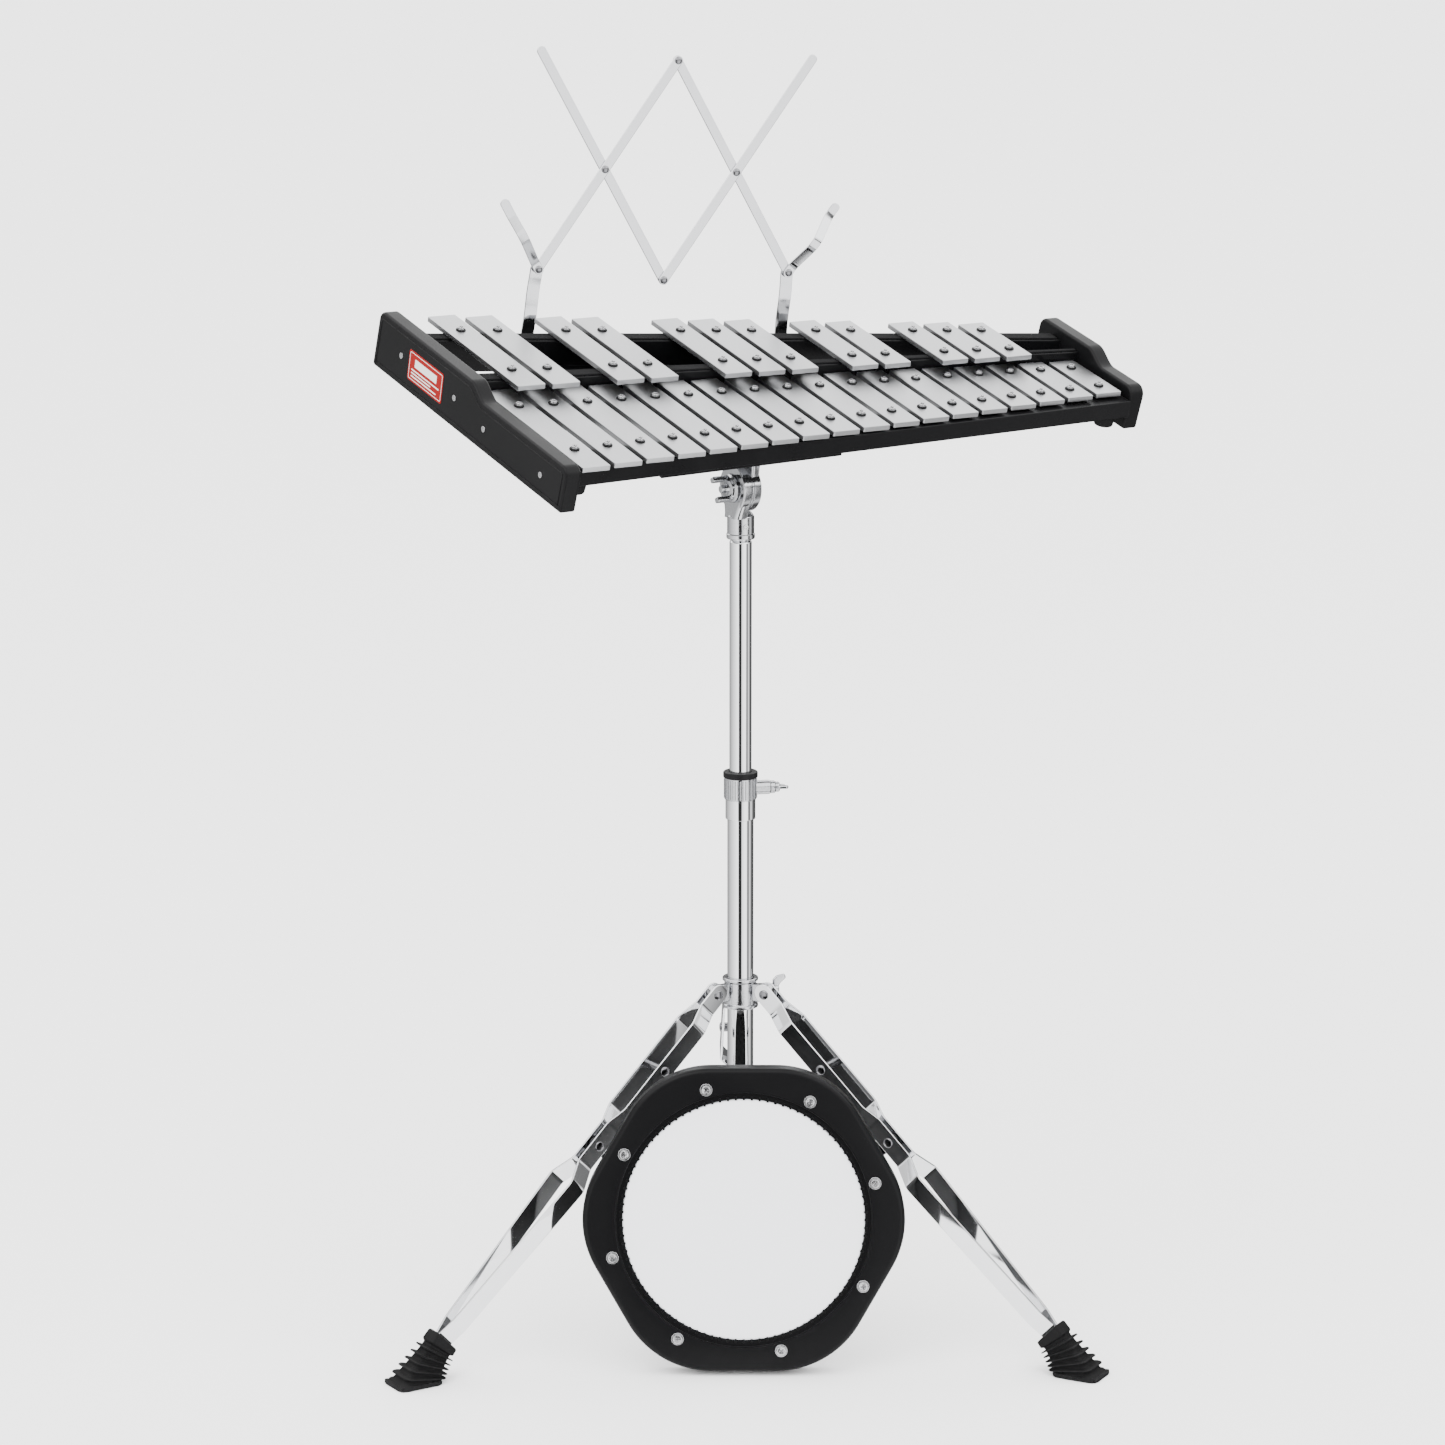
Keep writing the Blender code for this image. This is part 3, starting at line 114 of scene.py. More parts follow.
def eased(path: Outline, radius: float, steps: int = 6) -> Outline:
    """Rounds the inner corners of an open path, keeping its two ends."""
    out: Outline = [path[0]]
    for before, here, after in zip(path, path[1:], path[2:]):
        corner = Vector(here)
        back, ahead = Vector(before) - corner, Vector(after) - corner
        turn = pi - back.angle(ahead)
        if turn < radians(1):
            out.append(here)
            continue
        reach = min(radius * tan(turn / 2), 0.48 * back.length, 0.48 * ahead.length)
        start, end = corner + back.normalized() * reach, corner + ahead.normalized() * reach
        for s in range(steps + 1):
            t = s / steps
            out.append(tuple((1 - t) ** 2 * start + 2 * t * (1 - t) * corner + t ** 2 * end))
    out.append(path[-1])
    return out


# ---- solids -------------------------------------------------------------------------------------
def plate(outer: Outline, holes: list[Outline], low: float, high: float, edge: float,
          steps: int = 3) -> bmesh.types.BMesh:
    """Flat plate along Z whose outer and hole edges are rounded over.

    Args:
        outer: Outline, anticlockwise.
        holes: Outlines of through holes, anticlockwise.
        low: Height of the underside.
        high: Height of the top.
        edge: Radius of the rounding.
        steps: Facets in each rounding.

    Returns:
        A closed mesh.
    """
    turns = [pi / 2 * s / steps for s in range(steps + 1)]
    levels = [(low + edge * (1 - cos(a)), edge * (1 - sin(a))) for a in turns]
    levels += [(high - edge * (1 - cos(a)), edge * (1 - sin(a))) for a in reversed(turns)]
    bm = bmesh.new()
    loops = [[inset(outer, depth)] + [inset(hole, -depth) for hole in holes] for _, depth in levels]
    rings = [[[bm.verts.new((x, y, z)) for x, y in loop] for loop in level]
             for level, (z, _) in zip(loops, levels)]
    for below, above in zip(rings, rings[1:]):
        for lower, upper in zip(below, above):
            for k in range(len(lower)):
                n = (k + 1) % len(lower)
                bm.faces.new((lower[k], lower[n], upper[n], upper[k]))
    for ring, level in ((rings[0], loops[0]), (rings[-1], loops[-1])):
        flat = [vertex for loop in ring for vertex in loop]
        for tri in tessellate_polygon([[Vector((x, y, 0)) for x, y in loop] for loop in level]):
            bm.faces.new([flat[i] for i in tri])
    bmesh.ops.recalc_face_normals(bm, faces=bm.faces)
    return bm


def turned(profile: Outline, sides: int = 64) -> bmesh.types.BMesh:
    """Turns a closed profile of (radius, height) points about Z; points on the axis become poles."""
    bm = bmesh.new()
    rings = []
    for radius, height in profile:
        if radius < 1e-6:
            rings.append([bm.verts.new((0.0, 0.0, height))])
        else:
            rings.append([bm.verts.new((x, y, height)) for x, y in circle(radius, sides)])
    for here, there in zip(rings, rings[1:] + rings[:1]):
        for k in range(sides):
            n = (k + 1) % sides
            corners = dict.fromkeys((here[k % len(here)], here[n % len(here)],
                                     there[n % len(there)], there[k % len(there)]))
            if len(corners) > 2:
                bm.faces.new(list(corners))
    bmesh.ops.recalc_face_normals(bm, faces=bm.faces)
    return bm


def skinned(rings: list[list[Vector]]) -> bmesh.types.BMesh:
    """Closed skin through rings of equally many points, capped at both ends."""
    bm = bmesh.new()
    loops = [[bm.verts.new(point) for point in ring] for ring in rings]
    for below, above in zip(loops, loops[1:]):
        for k in range(len(below)):
            n = (k + 1) % len(below)
            bm.faces.new((below[k], below[n], above[n], above[k]))
    bm.faces.new(loops[0][::-1])
    bm.faces.new(loops[-1])
    bmesh.ops.recalc_face_normals(bm, faces=bm.faces)
    return bm


def resampled(path: Outline, marks: list[float]) -> list[tuple[Vector, Vector]]:
    """Points and directions at given distances along a path.

    Args:
        path: Corner points.
        marks: Distances from its start, rising.

    Returns:
        A point and a unit direction for each distance.
    """
    points = [Vector(p) for p in path]
    lengths = [0.0]
    for a, b in zip(points, points[1:]):
        lengths.append(lengths[-1] + (b - a).length)
    out = []
    span = 0
    for mark in marks:
        while span < len(points) - 2 and mark > lengths[span + 1]:
            span += 1
        way = (points[span + 1] - points[span]).normalized()
        out.append((points[span] + way * (mark - lengths[span]), way))
    return out


def strap(path: Outline, width: float, thick: float, ends: tuple[float, float],
          edge: float) -> bmesh.types.BMesh:
    """Flat metal strap bent along a path in XY, with its width along Z.

    Args:
        path: Middle line of the strap.
        width: Width along Z.
        thick: Thickness.
        ends: Corner rounding of the first and last end, as shares of half the width.
        edge: Rounding of the long edges.

    Returns:
        A closed mesh.
    """
    total = sum((Vector(b) - Vector(a)).length for a, b in zip(path, path[1:]))
    half = width / 2
    first, last = (share * half for share in ends)
    arc = [1 - cos(pi / 2 * s / 6) for s in range(7)]
    marks = {0.0, total} | {first * a for a in arc} | {total - last * a for a in arc}
    distance = 0.0
    for a, b in zip(path, path[1:]):
        distance += (Vector(b) - Vector(a)).length
        if first < distance < total - last:
            marks.add(distance)
    ordered = sorted(marks)
    ordered = [m for k, m in enumerate(ordered) if k == 0 or m - ordered[k - 1] > 1e-6]
    stations = resampled(path, ordered)
    rings = []
    for k, (mark, (point, way)) in enumerate(zip(ordered, stations)):
        after = stations[min(k + 1, len(stations) - 1)][1]
        mean = (way + after).normalized()
        mitre = 1 / max(0.6, mean.dot(way))
        side = Vector((-mean.y, mean.x, 0.0)) * mitre
        reach = half
        for radius, gap in ((first, mark), (last, total - mark)):
            if gap < radius:
                reach = min(reach, half - radius + sqrt(max(0.0, radius ** 2 - (radius - gap) ** 2)))
        soft = min(edge, reach * 0.9, thick * 0.45)
        section = rounded(rectangle(-thick / 2, thick / 2, -max(reach, soft * 1.2), max(reach, soft * 1.2)),
                          [soft] * 4, 2)
        centre = Vector((point.x, point.y, 0.0))
        rings.append([centre + side * x + Vector((0.0, 0.0, z)) for x, z in section])
    return skinned(rings)


def rod(radius: float, start: Vector, end: Vector, edge: float = 0.0, sides: int = 32) -> bmesh.types.BMesh:
    """Round rod between two points with softened rims."""
    length = (end - start).length
    soft = max(edge, 0.02 * MM)
    bm = turned(rounded([(0.0, 0.0), (radius, 0.0), (radius, length), (0.0, length)],
                        [0.0, soft, soft, 0.0], 3), sides)
    return moved(bm, Matrix.Translation(start) @ (end - start).to_track_quat("Z", "Y").to_matrix().to_4x4())


def moved(bm: bmesh.types.BMesh, matrix: Matrix) -> bmesh.types.BMesh:
    """The same mesh in another place."""
    bm.transform(matrix)
    return bm


def gathered(shapes: list[bmesh.types.BMesh]) -> bmesh.types.BMesh:
    """One mesh that holds several shapes."""
    out = bmesh.new()
    for shape in shapes:
        mesh = bpy.data.meshes.new("part")
        shape.to_mesh(mesh)
        shape.free()
        out.from_mesh(mesh)
        bpy.data.meshes.remove(mesh)
    return out


def copies(shape: bmesh.types.BMesh, places: list[Matrix]) -> bmesh.types.BMesh:
    """One mesh that holds a shape at each of several places."""
    out = []
    for place in places:
        out.append(moved(shape.copy(), place))
    shape.free()
    return gathered(out)


def axes(origin: Vector, x: Vector, z: Vector) -> Matrix:
    """Frame with a given origin and X, whose Z leans as near to the given one as it can."""
    along = x.normalized()
    across = z.cross(along).normalized()
    up = along.cross(across)
    turn = Matrix((along, across, up)).transposed().to_4x4()
    return Matrix.Translation(origin) @ turn


# ---- shader wiring ------------------------------------------------------------------------------
Value = float | tuple[float, ...] | bpy.types.NodeSocket
MIX_FIRST, MIX_SECOND, MIX_RESULT = 6, 7, 2     # colour sockets of a Mix node


class Wiring:
    """Adds nodes to one shader tree."""

    def __init__(self, tree: bpy.types.NodeTree) -> None:
        """Keeps the tree."""
        self.tree = tree

    def fill(self, node: bpy.types.Node, inputs: dict[str | int, Value]) -> bpy.types.Node:
        """Links or sets each given input of a node."""
        for name, value in inputs.items():
            if isinstance(value, bpy.types.NodeSocket):
                self.tree.links.new(value, node.inputs[name])
            else:
                node.inputs[name].default_value = value
        return node

    def add(self, kind: str, inputs: dict[str | int, Value] | None = None,
            **settings: object) -> bpy.types.Node:
        """Adds one node.

        Args:
            kind: The node's type name.
            inputs: A value or another node's output for each input named or numbered.
            settings: Properties of the node.

        Returns:
            The new node.
        """
        node = self.tree.nodes.new(kind)
        for name, value in settings.items():
            setattr(node, name, value)
        return self.fill(node, inputs or {})

    def group(self, tree: bpy.types.NodeTree, inputs: dict[str, Value]) -> bpy.types.Node:
        """Adds a node group with its inputs set."""
        node = self.tree.nodes.new("ShaderNodeGroup")
        node.node_tree = tree
        return self.fill(node, inputs)

    def spread(self, value: Value, low: float, high: float, start: float = 0.0, end: float = 1.0) -> Value:
        """Maps a value from one range to another, clamped."""
        node = self.add("ShaderNodeMapRange", {"Value": value, "From Min": start, "From Max": end,
                                               "To Min": low, "To Max": high})
        return node.outputs["Result"]

    def sum(self, kind: str, first: Value, second: Value) -> Value:
        """One Math node of the given operation."""
        return self.add("ShaderNodeMath", {0: first, 1: second}, operation=kind).outputs["Value"]

    def mixed(self, share: Value, first: Value, second: Value) -> Value:
        """Mixes two colours."""
        node = self.add("ShaderNodeMix", {"Factor": share}, data_type="RGBA")
        return self.fill(node, {MIX_FIRST: first, MIX_SECOND: second}).outputs[MIX_RESULT]


def group_tree(name: str, inputs: dict[str, tuple[str, object]], outputs: dict[str, str]
               ) -> tuple[bpy.types.NodeTree, Wiring, bpy.types.Node, bpy.types.Node]:
    """Starts a shader node group with named sockets.

    Args:
        name: The group's name.
        inputs: Socket type and default for each input.
        outputs: Socket type for each output.

    Returns:
        The tree, its wiring, and its input and output nodes.
    """
    tree = bpy.data.node_groups.new(name, "ShaderNodeTree")
    for label, (kind, default) in inputs.items():
        socket = tree.interface.new_socket(name=label, in_out="INPUT", socket_type=kind)
        if default is not None:
            socket.default_value = default
    for label, kind in outputs.items():
        tree.interface.new_socket(name=label, in_out="OUTPUT", socket_type=kind)
    wiring = Wiring(tree)
    return tree, wiring, wiring.add("NodeGroupInput"), wiring.add("NodeGroupOutput")


FLOAT, VECTOR = "NodeSocketFloat", "NodeSocketVector"


class Effects:
    """Surface effects that several finishes share, each a node group built once."""

    _built: dict[str, bpy.types.NodeTree] = {}

    @classmethod
    def grain(cls) -> bpy.types.NodeTree:
        """Fine grain: a height and a mask."""
        if "fine_grain" not in cls._built:
            tree, w, into, out = group_tree(
                "fine_grain", {"Vector": (VECTOR, None), "Scale": (FLOAT, 1000.0)},
                {"Height": FLOAT, "Mask": FLOAT})
            noise = w.add("ShaderNodeTexNoise", {"Vector": into.outputs["Vector"],
                                                 "Scale": into.outputs["Scale"],
                                                 "Detail": 3.0, "Roughness": 0.6})
            tree.links.new(noise.outputs["Fac"], out.inputs["Height"])
            tree.links.new(w.spread(noise.outputs["Fac"], 0.0, 1.0, 0.35, 0.65), out.inputs["Mask"])
            cls._built["fine_grain"] = tree
        return cls._built["fine_grain"]

    @classmethod
    def marks(cls) -> bpy.types.NodeTree:
        """Handling marks: broad smudges and fine hairlines that vary the roughness."""
        if "handling_marks" not in cls._built:
            tree, w, into, out = group_tree(
                "handling_marks", {"Vector": (VECTOR, None), "Scale": (FLOAT, 20.0), "Base": (FLOAT, 0.3),
                                   "Smudge": (FLOAT, 0.05), "Hairlines": (FLOAT, 0.02)}, {"Roughness": FLOAT})
            smudge = w.add("ShaderNodeTexNoise", {"Vector": into.outputs["Vector"],
                                                  "Scale": into.outputs["Scale"],
                                                  "Detail": 4.0, "Distortion": 0.4})
            turned_vector = w.add("ShaderNodeVectorRotate", {"Vector": into.outputs["Vector"], "Angle": 0.7})
            stretched = w.add("ShaderNodeVectorMath", {0: turned_vector.outputs[0], 1: (1.0, 26.0, 26.0)},
                              operation="MULTIPLY")
            lines = w.add("ShaderNodeTexNoise", {"Vector": stretched.outputs[0], "Scale": 60.0,
                                                 "Detail": 2.0})
            first = w.sum("MULTIPLY", w.spread(smudge.outputs["Fac"], -1.0, 1.0, 0.3, 0.7),
                          into.outputs["Smudge"])
            second = w.sum("MULTIPLY", w.spread(lines.outputs["Fac"], 0.0, 1.0, 0.58, 0.72),
                           into.outputs["Hairlines"])
            total = w.sum("ADD", w.sum("ADD", first, second), into.outputs["Base"])
            tree.links.new(w.sum("MAXIMUM", total, 0.02), out.inputs["Roughness"])
            cls._built["handling_marks"] = tree
        return cls._built["handling_marks"]

    @classmethod
    def dust(cls) -> bpy.types.NodeTree:
        """Thin dust on faces that look up: a mask."""
        if "settled_dust" not in cls._built:
            tree, w, into, out = group_tree(
                "settled_dust", {"Vector": (VECTOR, None), "Scale": (FLOAT, 60.0), "Amount": (FLOAT, 0.1)},
                {"Mask": FLOAT})
            shape = w.add("ShaderNodeNewGeometry")
            height = w.add("ShaderNodeSeparateXYZ", {0: shape.outputs["Normal"]}).outputs["Z"]
            noise = w.add("ShaderNodeTexNoise", {"Vector": into.outputs["Vector"],
                                                 "Scale": into.outputs["Scale"], "Detail": 5.0})
            lit = w.sum("MULTIPLY", w.spread(height, 0.0, 1.0, 0.2, 1.0),
                        w.spread(noise.outputs["Fac"], 0.2, 1.0, 0.35, 0.75))
            tree.links.new(w.sum("MULTIPLY", lit, into.outputs["Amount"]), out.inputs["Mask"])
            cls._built["settled_dust"] = tree
        return cls._built["settled_dust"]

    @classmethod
    def wear(cls) -> bpy.types.NodeTree:
        """Rubbed edges: a mask where the surface turns within a small radius."""
        if "rubbed_edges" not in cls._built:
            tree, w, into, out = group_tree(
                "rubbed_edges",
                {"Vector": (VECTOR, None), "Radius": (FLOAT, 1.5 * MM), "Amount": (FLOAT, 0.3)},
                {"Mask": FLOAT})
            soft = w.add("ShaderNodeBevel", {"Radius": into.outputs["Radius"]}, samples=4)
            shape = w.add("ShaderNodeNewGeometry")
            match = w.add("ShaderNodeVectorMath", {0: soft.outputs[0], 1: shape.outputs["Normal"]},
                          operation="DOT_PRODUCT")
            noise = w.add("ShaderNodeTexNoise", {"Vector": into.outputs["Vector"], "Scale": 160.0,
                                                 "Detail": 4.0})
            edge = w.spread(match.outputs["Value"], 1.0, 0.0, 0.75, 0.99)
            rubbed = w.sum("MULTIPLY", edge, w.spread(noise.outputs["Fac"], 0.0, 1.0, 0.35, 0.7))
            tree.links.new(w.sum("MULTIPLY", rubbed, into.outputs["Amount"]), out.inputs["Mask"])
            cls._built["rubbed_edges"] = tree
        return cls._built["rubbed_edges"]


# ---- finishes -----------------------------------------------------------------------------------
Colour = tuple[float, float, float]


def rgba(colour: Colour) -> tuple[float, float, float, float]:
    """The colour with full opacity."""
    return (*colour, 1.0)


@dataclass(frozen=True)
class Finish:
    """One surface finish: shader values that are even, and the effects that vary over it."""

    name: str
    slot: str
    colour: Colour
    metallic: float = 0.0
    roughness: float = 0.4
    smudge: float = 0.04
    hairlines: float = 0.02
    marks_scale: float = 22.0
    grain_scale: float = 0.0
    grain_depth: float = 0.0
    grain_strength: float = 0.3
    grain_tint: float = 0.0
    dust: float = 0.0
    wear: float = 0.0
    wear_colour: Colour = (0.16, 0.16, 0.165)
    coat: float = 0.0
    sheen: float = 0.0
    specular: float = 0.5

    def material(self) -> bpy.types.Material:
        """The material, built the first time it is asked for."""
        known = bpy.data.materials.get(self.name)
        return known or self._build()

    def _build(self) -> bpy.types.Material:
        """Wires the finish's effects into one Principled shader."""
        made = bpy.data.materials.new(self.name)
        made.use_nodes = True
        made.diffuse_color = rgba(self.colour)
        w = Wiring(made.node_tree)
        shader = made.node_tree.nodes["Principled BSDF"]
        shader.inputs["Metallic"].default_value = self.metallic
        shader.inputs["Coat Weight"].default_value = self.coat
        shader.inputs["Coat Roughness"].default_value = 0.12
        shader.inputs["Sheen Weight"].default_value = self.sheen
        shader.inputs["Specular IOR Level"].default_value = self.specular
        where = w.add("ShaderNodeTexCoord").outputs["Object"]
        rough = w.group(Effects.marks(), {"Vector": where, "Scale": self.marks_scale, "Base": self.roughness,
                                          "Smudge": self.smudge, "Hairlines": self.hairlines})
        made.node_tree.links.new(rough.outputs["Roughness"], shader.inputs["Roughness"])
        colour: Value = rgba(self.colour)
        if self.grain_scale:
            grain = w.group(Effects.grain(), {"Vector": where, "Scale": self.grain_scale})
            shade = tuple(c * (1 - self.grain_tint) for c in self.colour)
            colour = w.mixed(grain.outputs["Mask"], rgba(shade), colour)
            bump = w.add("ShaderNodeBump", {"Height": grain.outputs["Height"], "Distance": self.grain_depth,
                                            "Strength": self.grain_strength})
            made.node_tree.links.new(bump.outputs["Normal"], shader.inputs["Normal"])
        if self.wear:
            edge = w.group(Effects.wear(), {"Vector": where, "Amount": self.wear})
            colour = w.mixed(edge.outputs["Mask"], colour, rgba(self.wear_colour))
        if self.dust:
            film = w.group(Effects.dust(), {"Vector": where, "Amount": self.dust})
            colour = w.mixed(film.outputs["Mask"], colour, (0.45, 0.44, 0.43, 1.0))
        if isinstance(colour, bpy.types.NodeSocket):
            made.node_tree.links.new(colour, shader.inputs["Base Color"])
        else:
            shader.inputs["Base Color"].default_value = colour
        return made


DEEP_BLACK = 0.1                    # mirror share that keeps a matt black deep under a pale room


class Finishes(Enum):
    """The finishes of this bell set."""

    BAR = Finish("blasted_bar_aluminium", "satin_aluminium", (0.47, 0.475, 0.485), 1.0, 0.34, 0.03, 0.03,
                 14.0, grain_scale=1500.0, grain_depth=0.12 * MM, grain_strength=0.35, grain_tint=0.18)
    BAR_SCREW = Finish("polished_screw_steel", "dark_steel", (0.50, 0.50, 0.51), 1.0, 0.14, 0.05, 0.03, 200.0,
                       grain_scale=2500.0, grain_depth=0.03 * MM, grain_tint=0.1)
    GROMMET = Finish("grommet_rubber", "black_rubber", (0.006, 0.006, 0.0065), 0.0, 0.62, 0.05, 0.0, 80.0,
                     grain_scale=2200.0, grain_depth=0.05 * MM, grain_tint=0.2, specular=DEEP_BLACK)
    VINYL = Finish("panel_black_vinyl", "black_vinyl", (0.0038, 0.0038, 0.0042), 0.0, 0.40, 0.04, 0.03, 16.0,
                   grain_scale=900.0, grain_depth=0.10 * MM, grain_strength=0.22, grain_tint=0.25,
                   dust=0.004, wear=0.08, specular=DEEP_BLACK)
    LACQUER = Finish("frame_black_lacquer", "black_lacquer", (0.0036, 0.0036, 0.004), 0.0, 0.30, 0.06, 0.03,
                     24.0, grain_scale=420.0, grain_depth=0.05 * MM, grain_strength=0.15, grain_tint=0.2,
                     dust=0.004, wear=0.08, specular=DEEP_BLACK)
    FELT = Finish("rail_felt", "black_lacquer", (0.009, 0.009, 0.0095), 0.0, 0.95, 0.02, 0.0, 60.0,
                  grain_scale=1400.0, grain_depth=0.5 * MM, grain_strength=0.6, grain_tint=0.4,
                  specular=DEEP_BLACK)
    CHROME = Finish("polished_chrome", "chrome", (0.76, 0.765, 0.78), 1.0, 0.05, 0.02, 0.03, 30.0,
                    grain_scale=90.0, grain_depth=0.02 * MM, grain_strength=0.05, grain_tint=0.02)
    CAST = Finish("cast_chrome", "chrome", (0.50, 0.505, 0.52), 1.0, 0.14, 0.05, 0.03, 60.0,
                  grain_scale=700.0, grain_depth=0.18 * MM, grain_strength=0.35, grain_tint=0.08)
    RACK = Finish("bright_rack_steel", "bright_steel", (0.56, 0.565, 0.58), 1.0, 0.10, 0.03, 0.04, 40.0,
                  grain_scale=900.0, grain_depth=0.01 * MM, grain_strength=0.12, grain_tint=0.06)
    RIVET = Finish("rivet_steel", "bright_steel", (0.20, 0.20, 0.21), 1.0, 0.18, 0.05, 0.03, 200.0,
                   grain_scale=1500.0, grain_depth=0.02 * MM, grain_tint=0.1)
    # Braces: a plain near-black colour with a little metallic and rubbed edges.
    BRACE = Finish("black_brace_steel", "dark_steel", (0.009, 0.009, 0.01), 0.2, 0.32, 0.05, 0.03, 40.0,
                   grain_scale=700.0, grain_depth=0.06 * MM, grain_tint=0.2, dust=0.008, wear=0.2,
                   specular=0.2)
    RUBBER = Finish("foot_rubber", "black_rubber", (0.005, 0.005, 0.0053), 0.0, 0.66, 0.06, 0.0, 60.0,
                    grain_scale=1300.0, grain_depth=0.12 * MM, grain_strength=0.4, grain_tint=0.3,
                    dust=0.015, wear=0.08, specular=DEEP_BLACK)
    PAD = Finish("pad_black_plastic", "black_abs", (0.0036, 0.0036, 0.004), 0.0, 0.36, 0.04, 0.02, 14.0,
                 grain_scale=1100.0, grain_depth=0.08 * MM, grain_strength=0.25, grain_tint=0.2,
                 dust=0.003, wear=0.06, specular=DEEP_BLACK)
    HEAD = Finish("pad_white_head", "white_head", (0.84, 0.85, 0.88), 0.0, 0.45, 0.03, 0.0, 30.0,
                  grain_scale=1200.0, grain_depth=0.05 * MM, grain_strength=0.12, grain_tint=0.015,
                  sheen=0.05)
    SILVER_SCREW = Finish("zinc_screw", "bright_steel", (0.62, 0.62, 0.63), 1.0, 0.26, 0.05, 0.04, 200.0,
                          grain_scale=1800.0, grain_depth=0.03 * MM, grain_tint=0.12)
    NYLON = Finish("black_nylon", "black_abs", (0.006, 0.006, 0.0065), 0.0, 0.38, 0.05, 0.02, 60.0,
                   grain_scale=900.0, grain_depth=0.05 * MM, grain_tint=0.2, specular=DEEP_BLACK)
    LABEL = Finish("label_red", "black_vinyl", (0.19, 0.0022, 0.0014), 0.0, 0.34, 0.04, 0.02, 40.0,
                   grain_scale=1200.0, grain_depth=0.02 * MM, grain_tint=0.05, specular=DEEP_BLACK)
    LABEL_PRINT = Finish("label_white", "black_vinyl", (0.62, 0.58, 0.55), 0.0, 0.36, 0.04, 0.02, 40.0,
                         grain_scale=1200.0, grain_depth=0.02 * MM, grain_tint=0.05)


SHARP_ABOVE = radians(42)


def put(name: str, shape: bmesh.types.BMesh, finish: Finishes, body: str, place: Matrix | None = None,
        stands_for: tuple[str, ...] = ()) -> bpy.types.Object:
    """Makes one piece of the model and hangs it on its body.

    Args:
        name: The piece's name.
        shape: Its mesh, in its own frame; it is used up.
        finish: Its finish.
        body: The body that it moves with.
        place: Its frame; the row frame if left out.
        stands_for: The frame's nodes that it is shown in place of.

    Returns:
        The piece.
    """
    if place:
        shape.transform(place)
    mesh = bpy.data.meshes.new(name)
    shape.to_mesh(mesh)
    shape.free()
    mesh.shade_smooth()
    mesh.set_sharp_from_angle(angle=SHARP_ABOVE)
    mesh.materials.append(finish.value.material())
    piece = bpy.data.objects.new(name, mesh)
    bpy.context.scene.collection.objects.link(piece)
    even = piece.modifiers.new("even_shading", "WEIGHTED_NORMAL")
    even.keep_sharp = True
    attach(piece, body)
    if stands_for:
        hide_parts(*stands_for)
    LOG.info("%s: %d faces on %s", name, len(mesh.polygons), body)
    return piece


# ---- places from the frame ----------------------------------------------------------------------
class Places:
    """Joints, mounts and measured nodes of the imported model."""

    def __init__(self) -> None:
        """Reads the joints and mounts by name."""
        self.joints = {joint["name"]: joint for joint in frame["joints"]}
        self.mounts = {mount["name"]: mount for mount in frame["record"]["mounts"]}

    def pivot(self, joint: str) -> Vector:
        """A joint's point."""
        return Vector(self.joints[joint]["pos_m"])

    def axis(self, joint: str) -> Vector:
        """A joint's unit axis."""
        return Vector(self.joints[joint]["axis"]).normalized()

    def measured(self, node: str, seat: Matrix) -> tuple[Vector, Vector]:
        """Lowest and highest corner of a node in a frame of its own.

        Args:
            node: The node's name.
            seat: The frame to measure in.

        Returns:
            The two corners.
        """
        back = seat.inverted()
        points = [back @ vertex.co for vertex in frame["nodes"][node].data.vertices]
        low = Vector(min(p[k] for p in points) for k in range(3))
        high = Vector(max(p[k] for p in points) for k in range(3))
        return low, high

    def top_normal(self, node: str) -> Vector:
        """Direction that the upward faces of a flat node look in."""
        total = Vector((0.0, 0.0, 0.0))
        for face in frame["nodes"][node].data.polygons:
            if face.normal.z > 0.8:
                total += face.normal * face.area
        return total.normalized()

    def stand(self) -> Matrix:
        """Frame on the floor, on the post's axis."""
        swivel = self.pivot("table_swivel")
        return Matrix.Translation((swivel.x, swivel.y, 0.0))

    def table(self) -> Matrix:
        """Keyboard frame: X along the row of bars, Z out of their tops, origin on the tilt axis."""
        return axes(self.pivot("table_tilt"), self.axis("table_tilt"), self.top_normal("bar_natural_09"))


PLACES = Places()


# ---- small fastenings ---------------------------------------------------------------------------
def dome(radius: float, height: float, sides: int = 24) -> bmesh.types.BMesh:
    """Domed rivet or screw head, standing on the plane Z = 0."""
    arc = [(radius * cos(pi / 2 * s / 6), height * (0.25 + 0.75 * sin(pi / 2 * s / 6))) for s in range(7)]
    return turned([(0.0, 0.0), (radius, 0.0)] + arc[:-1] + [(0.0, height)], sides)


def cross_head(radius: float, height: float, slot: float) -> bmesh.types.BMesh:
    """Pan head with a cross recess.

    Args:
        radius: Radius of the head.
        height: Its height.
        slot: Width of one arm of the recess.

    Returns:
        A head that stands on the plane Z = 0.
    """
    arm, half = radius * 0.58, slot / 2
    cross = [(arm, -half), (arm, half), (half, half), (half, arm), (-half, arm), (-half, half),
             (-arm, half), (-arm, -half), (-half, -half), (-half, -arm), (half, -arm), (half, -half)]
    top = plate(circle(radius, 24), [cross], height * 0.35, height, height * 0.3, 2)
    base = plate(circle(radius * 0.97, 24), [], 0.0, height * 0.36, 0.05 * MM, 1)
    return gathered([top, base])


def bolt_boss(length: float) -> bmesh.types.BMesh:
    """Bored boss that a wing bolt goes through, standing on the plane Z = 0."""
    bore, radius = 3.3 * MM, 6.0 * MM
    return turned(rounded([(bore, 0.0), (radius, 0.0), (radius, length), (bore, length)],
                          [0.0, 0.0, 0.8 * MM, 0.3 * MM], 3), 32)


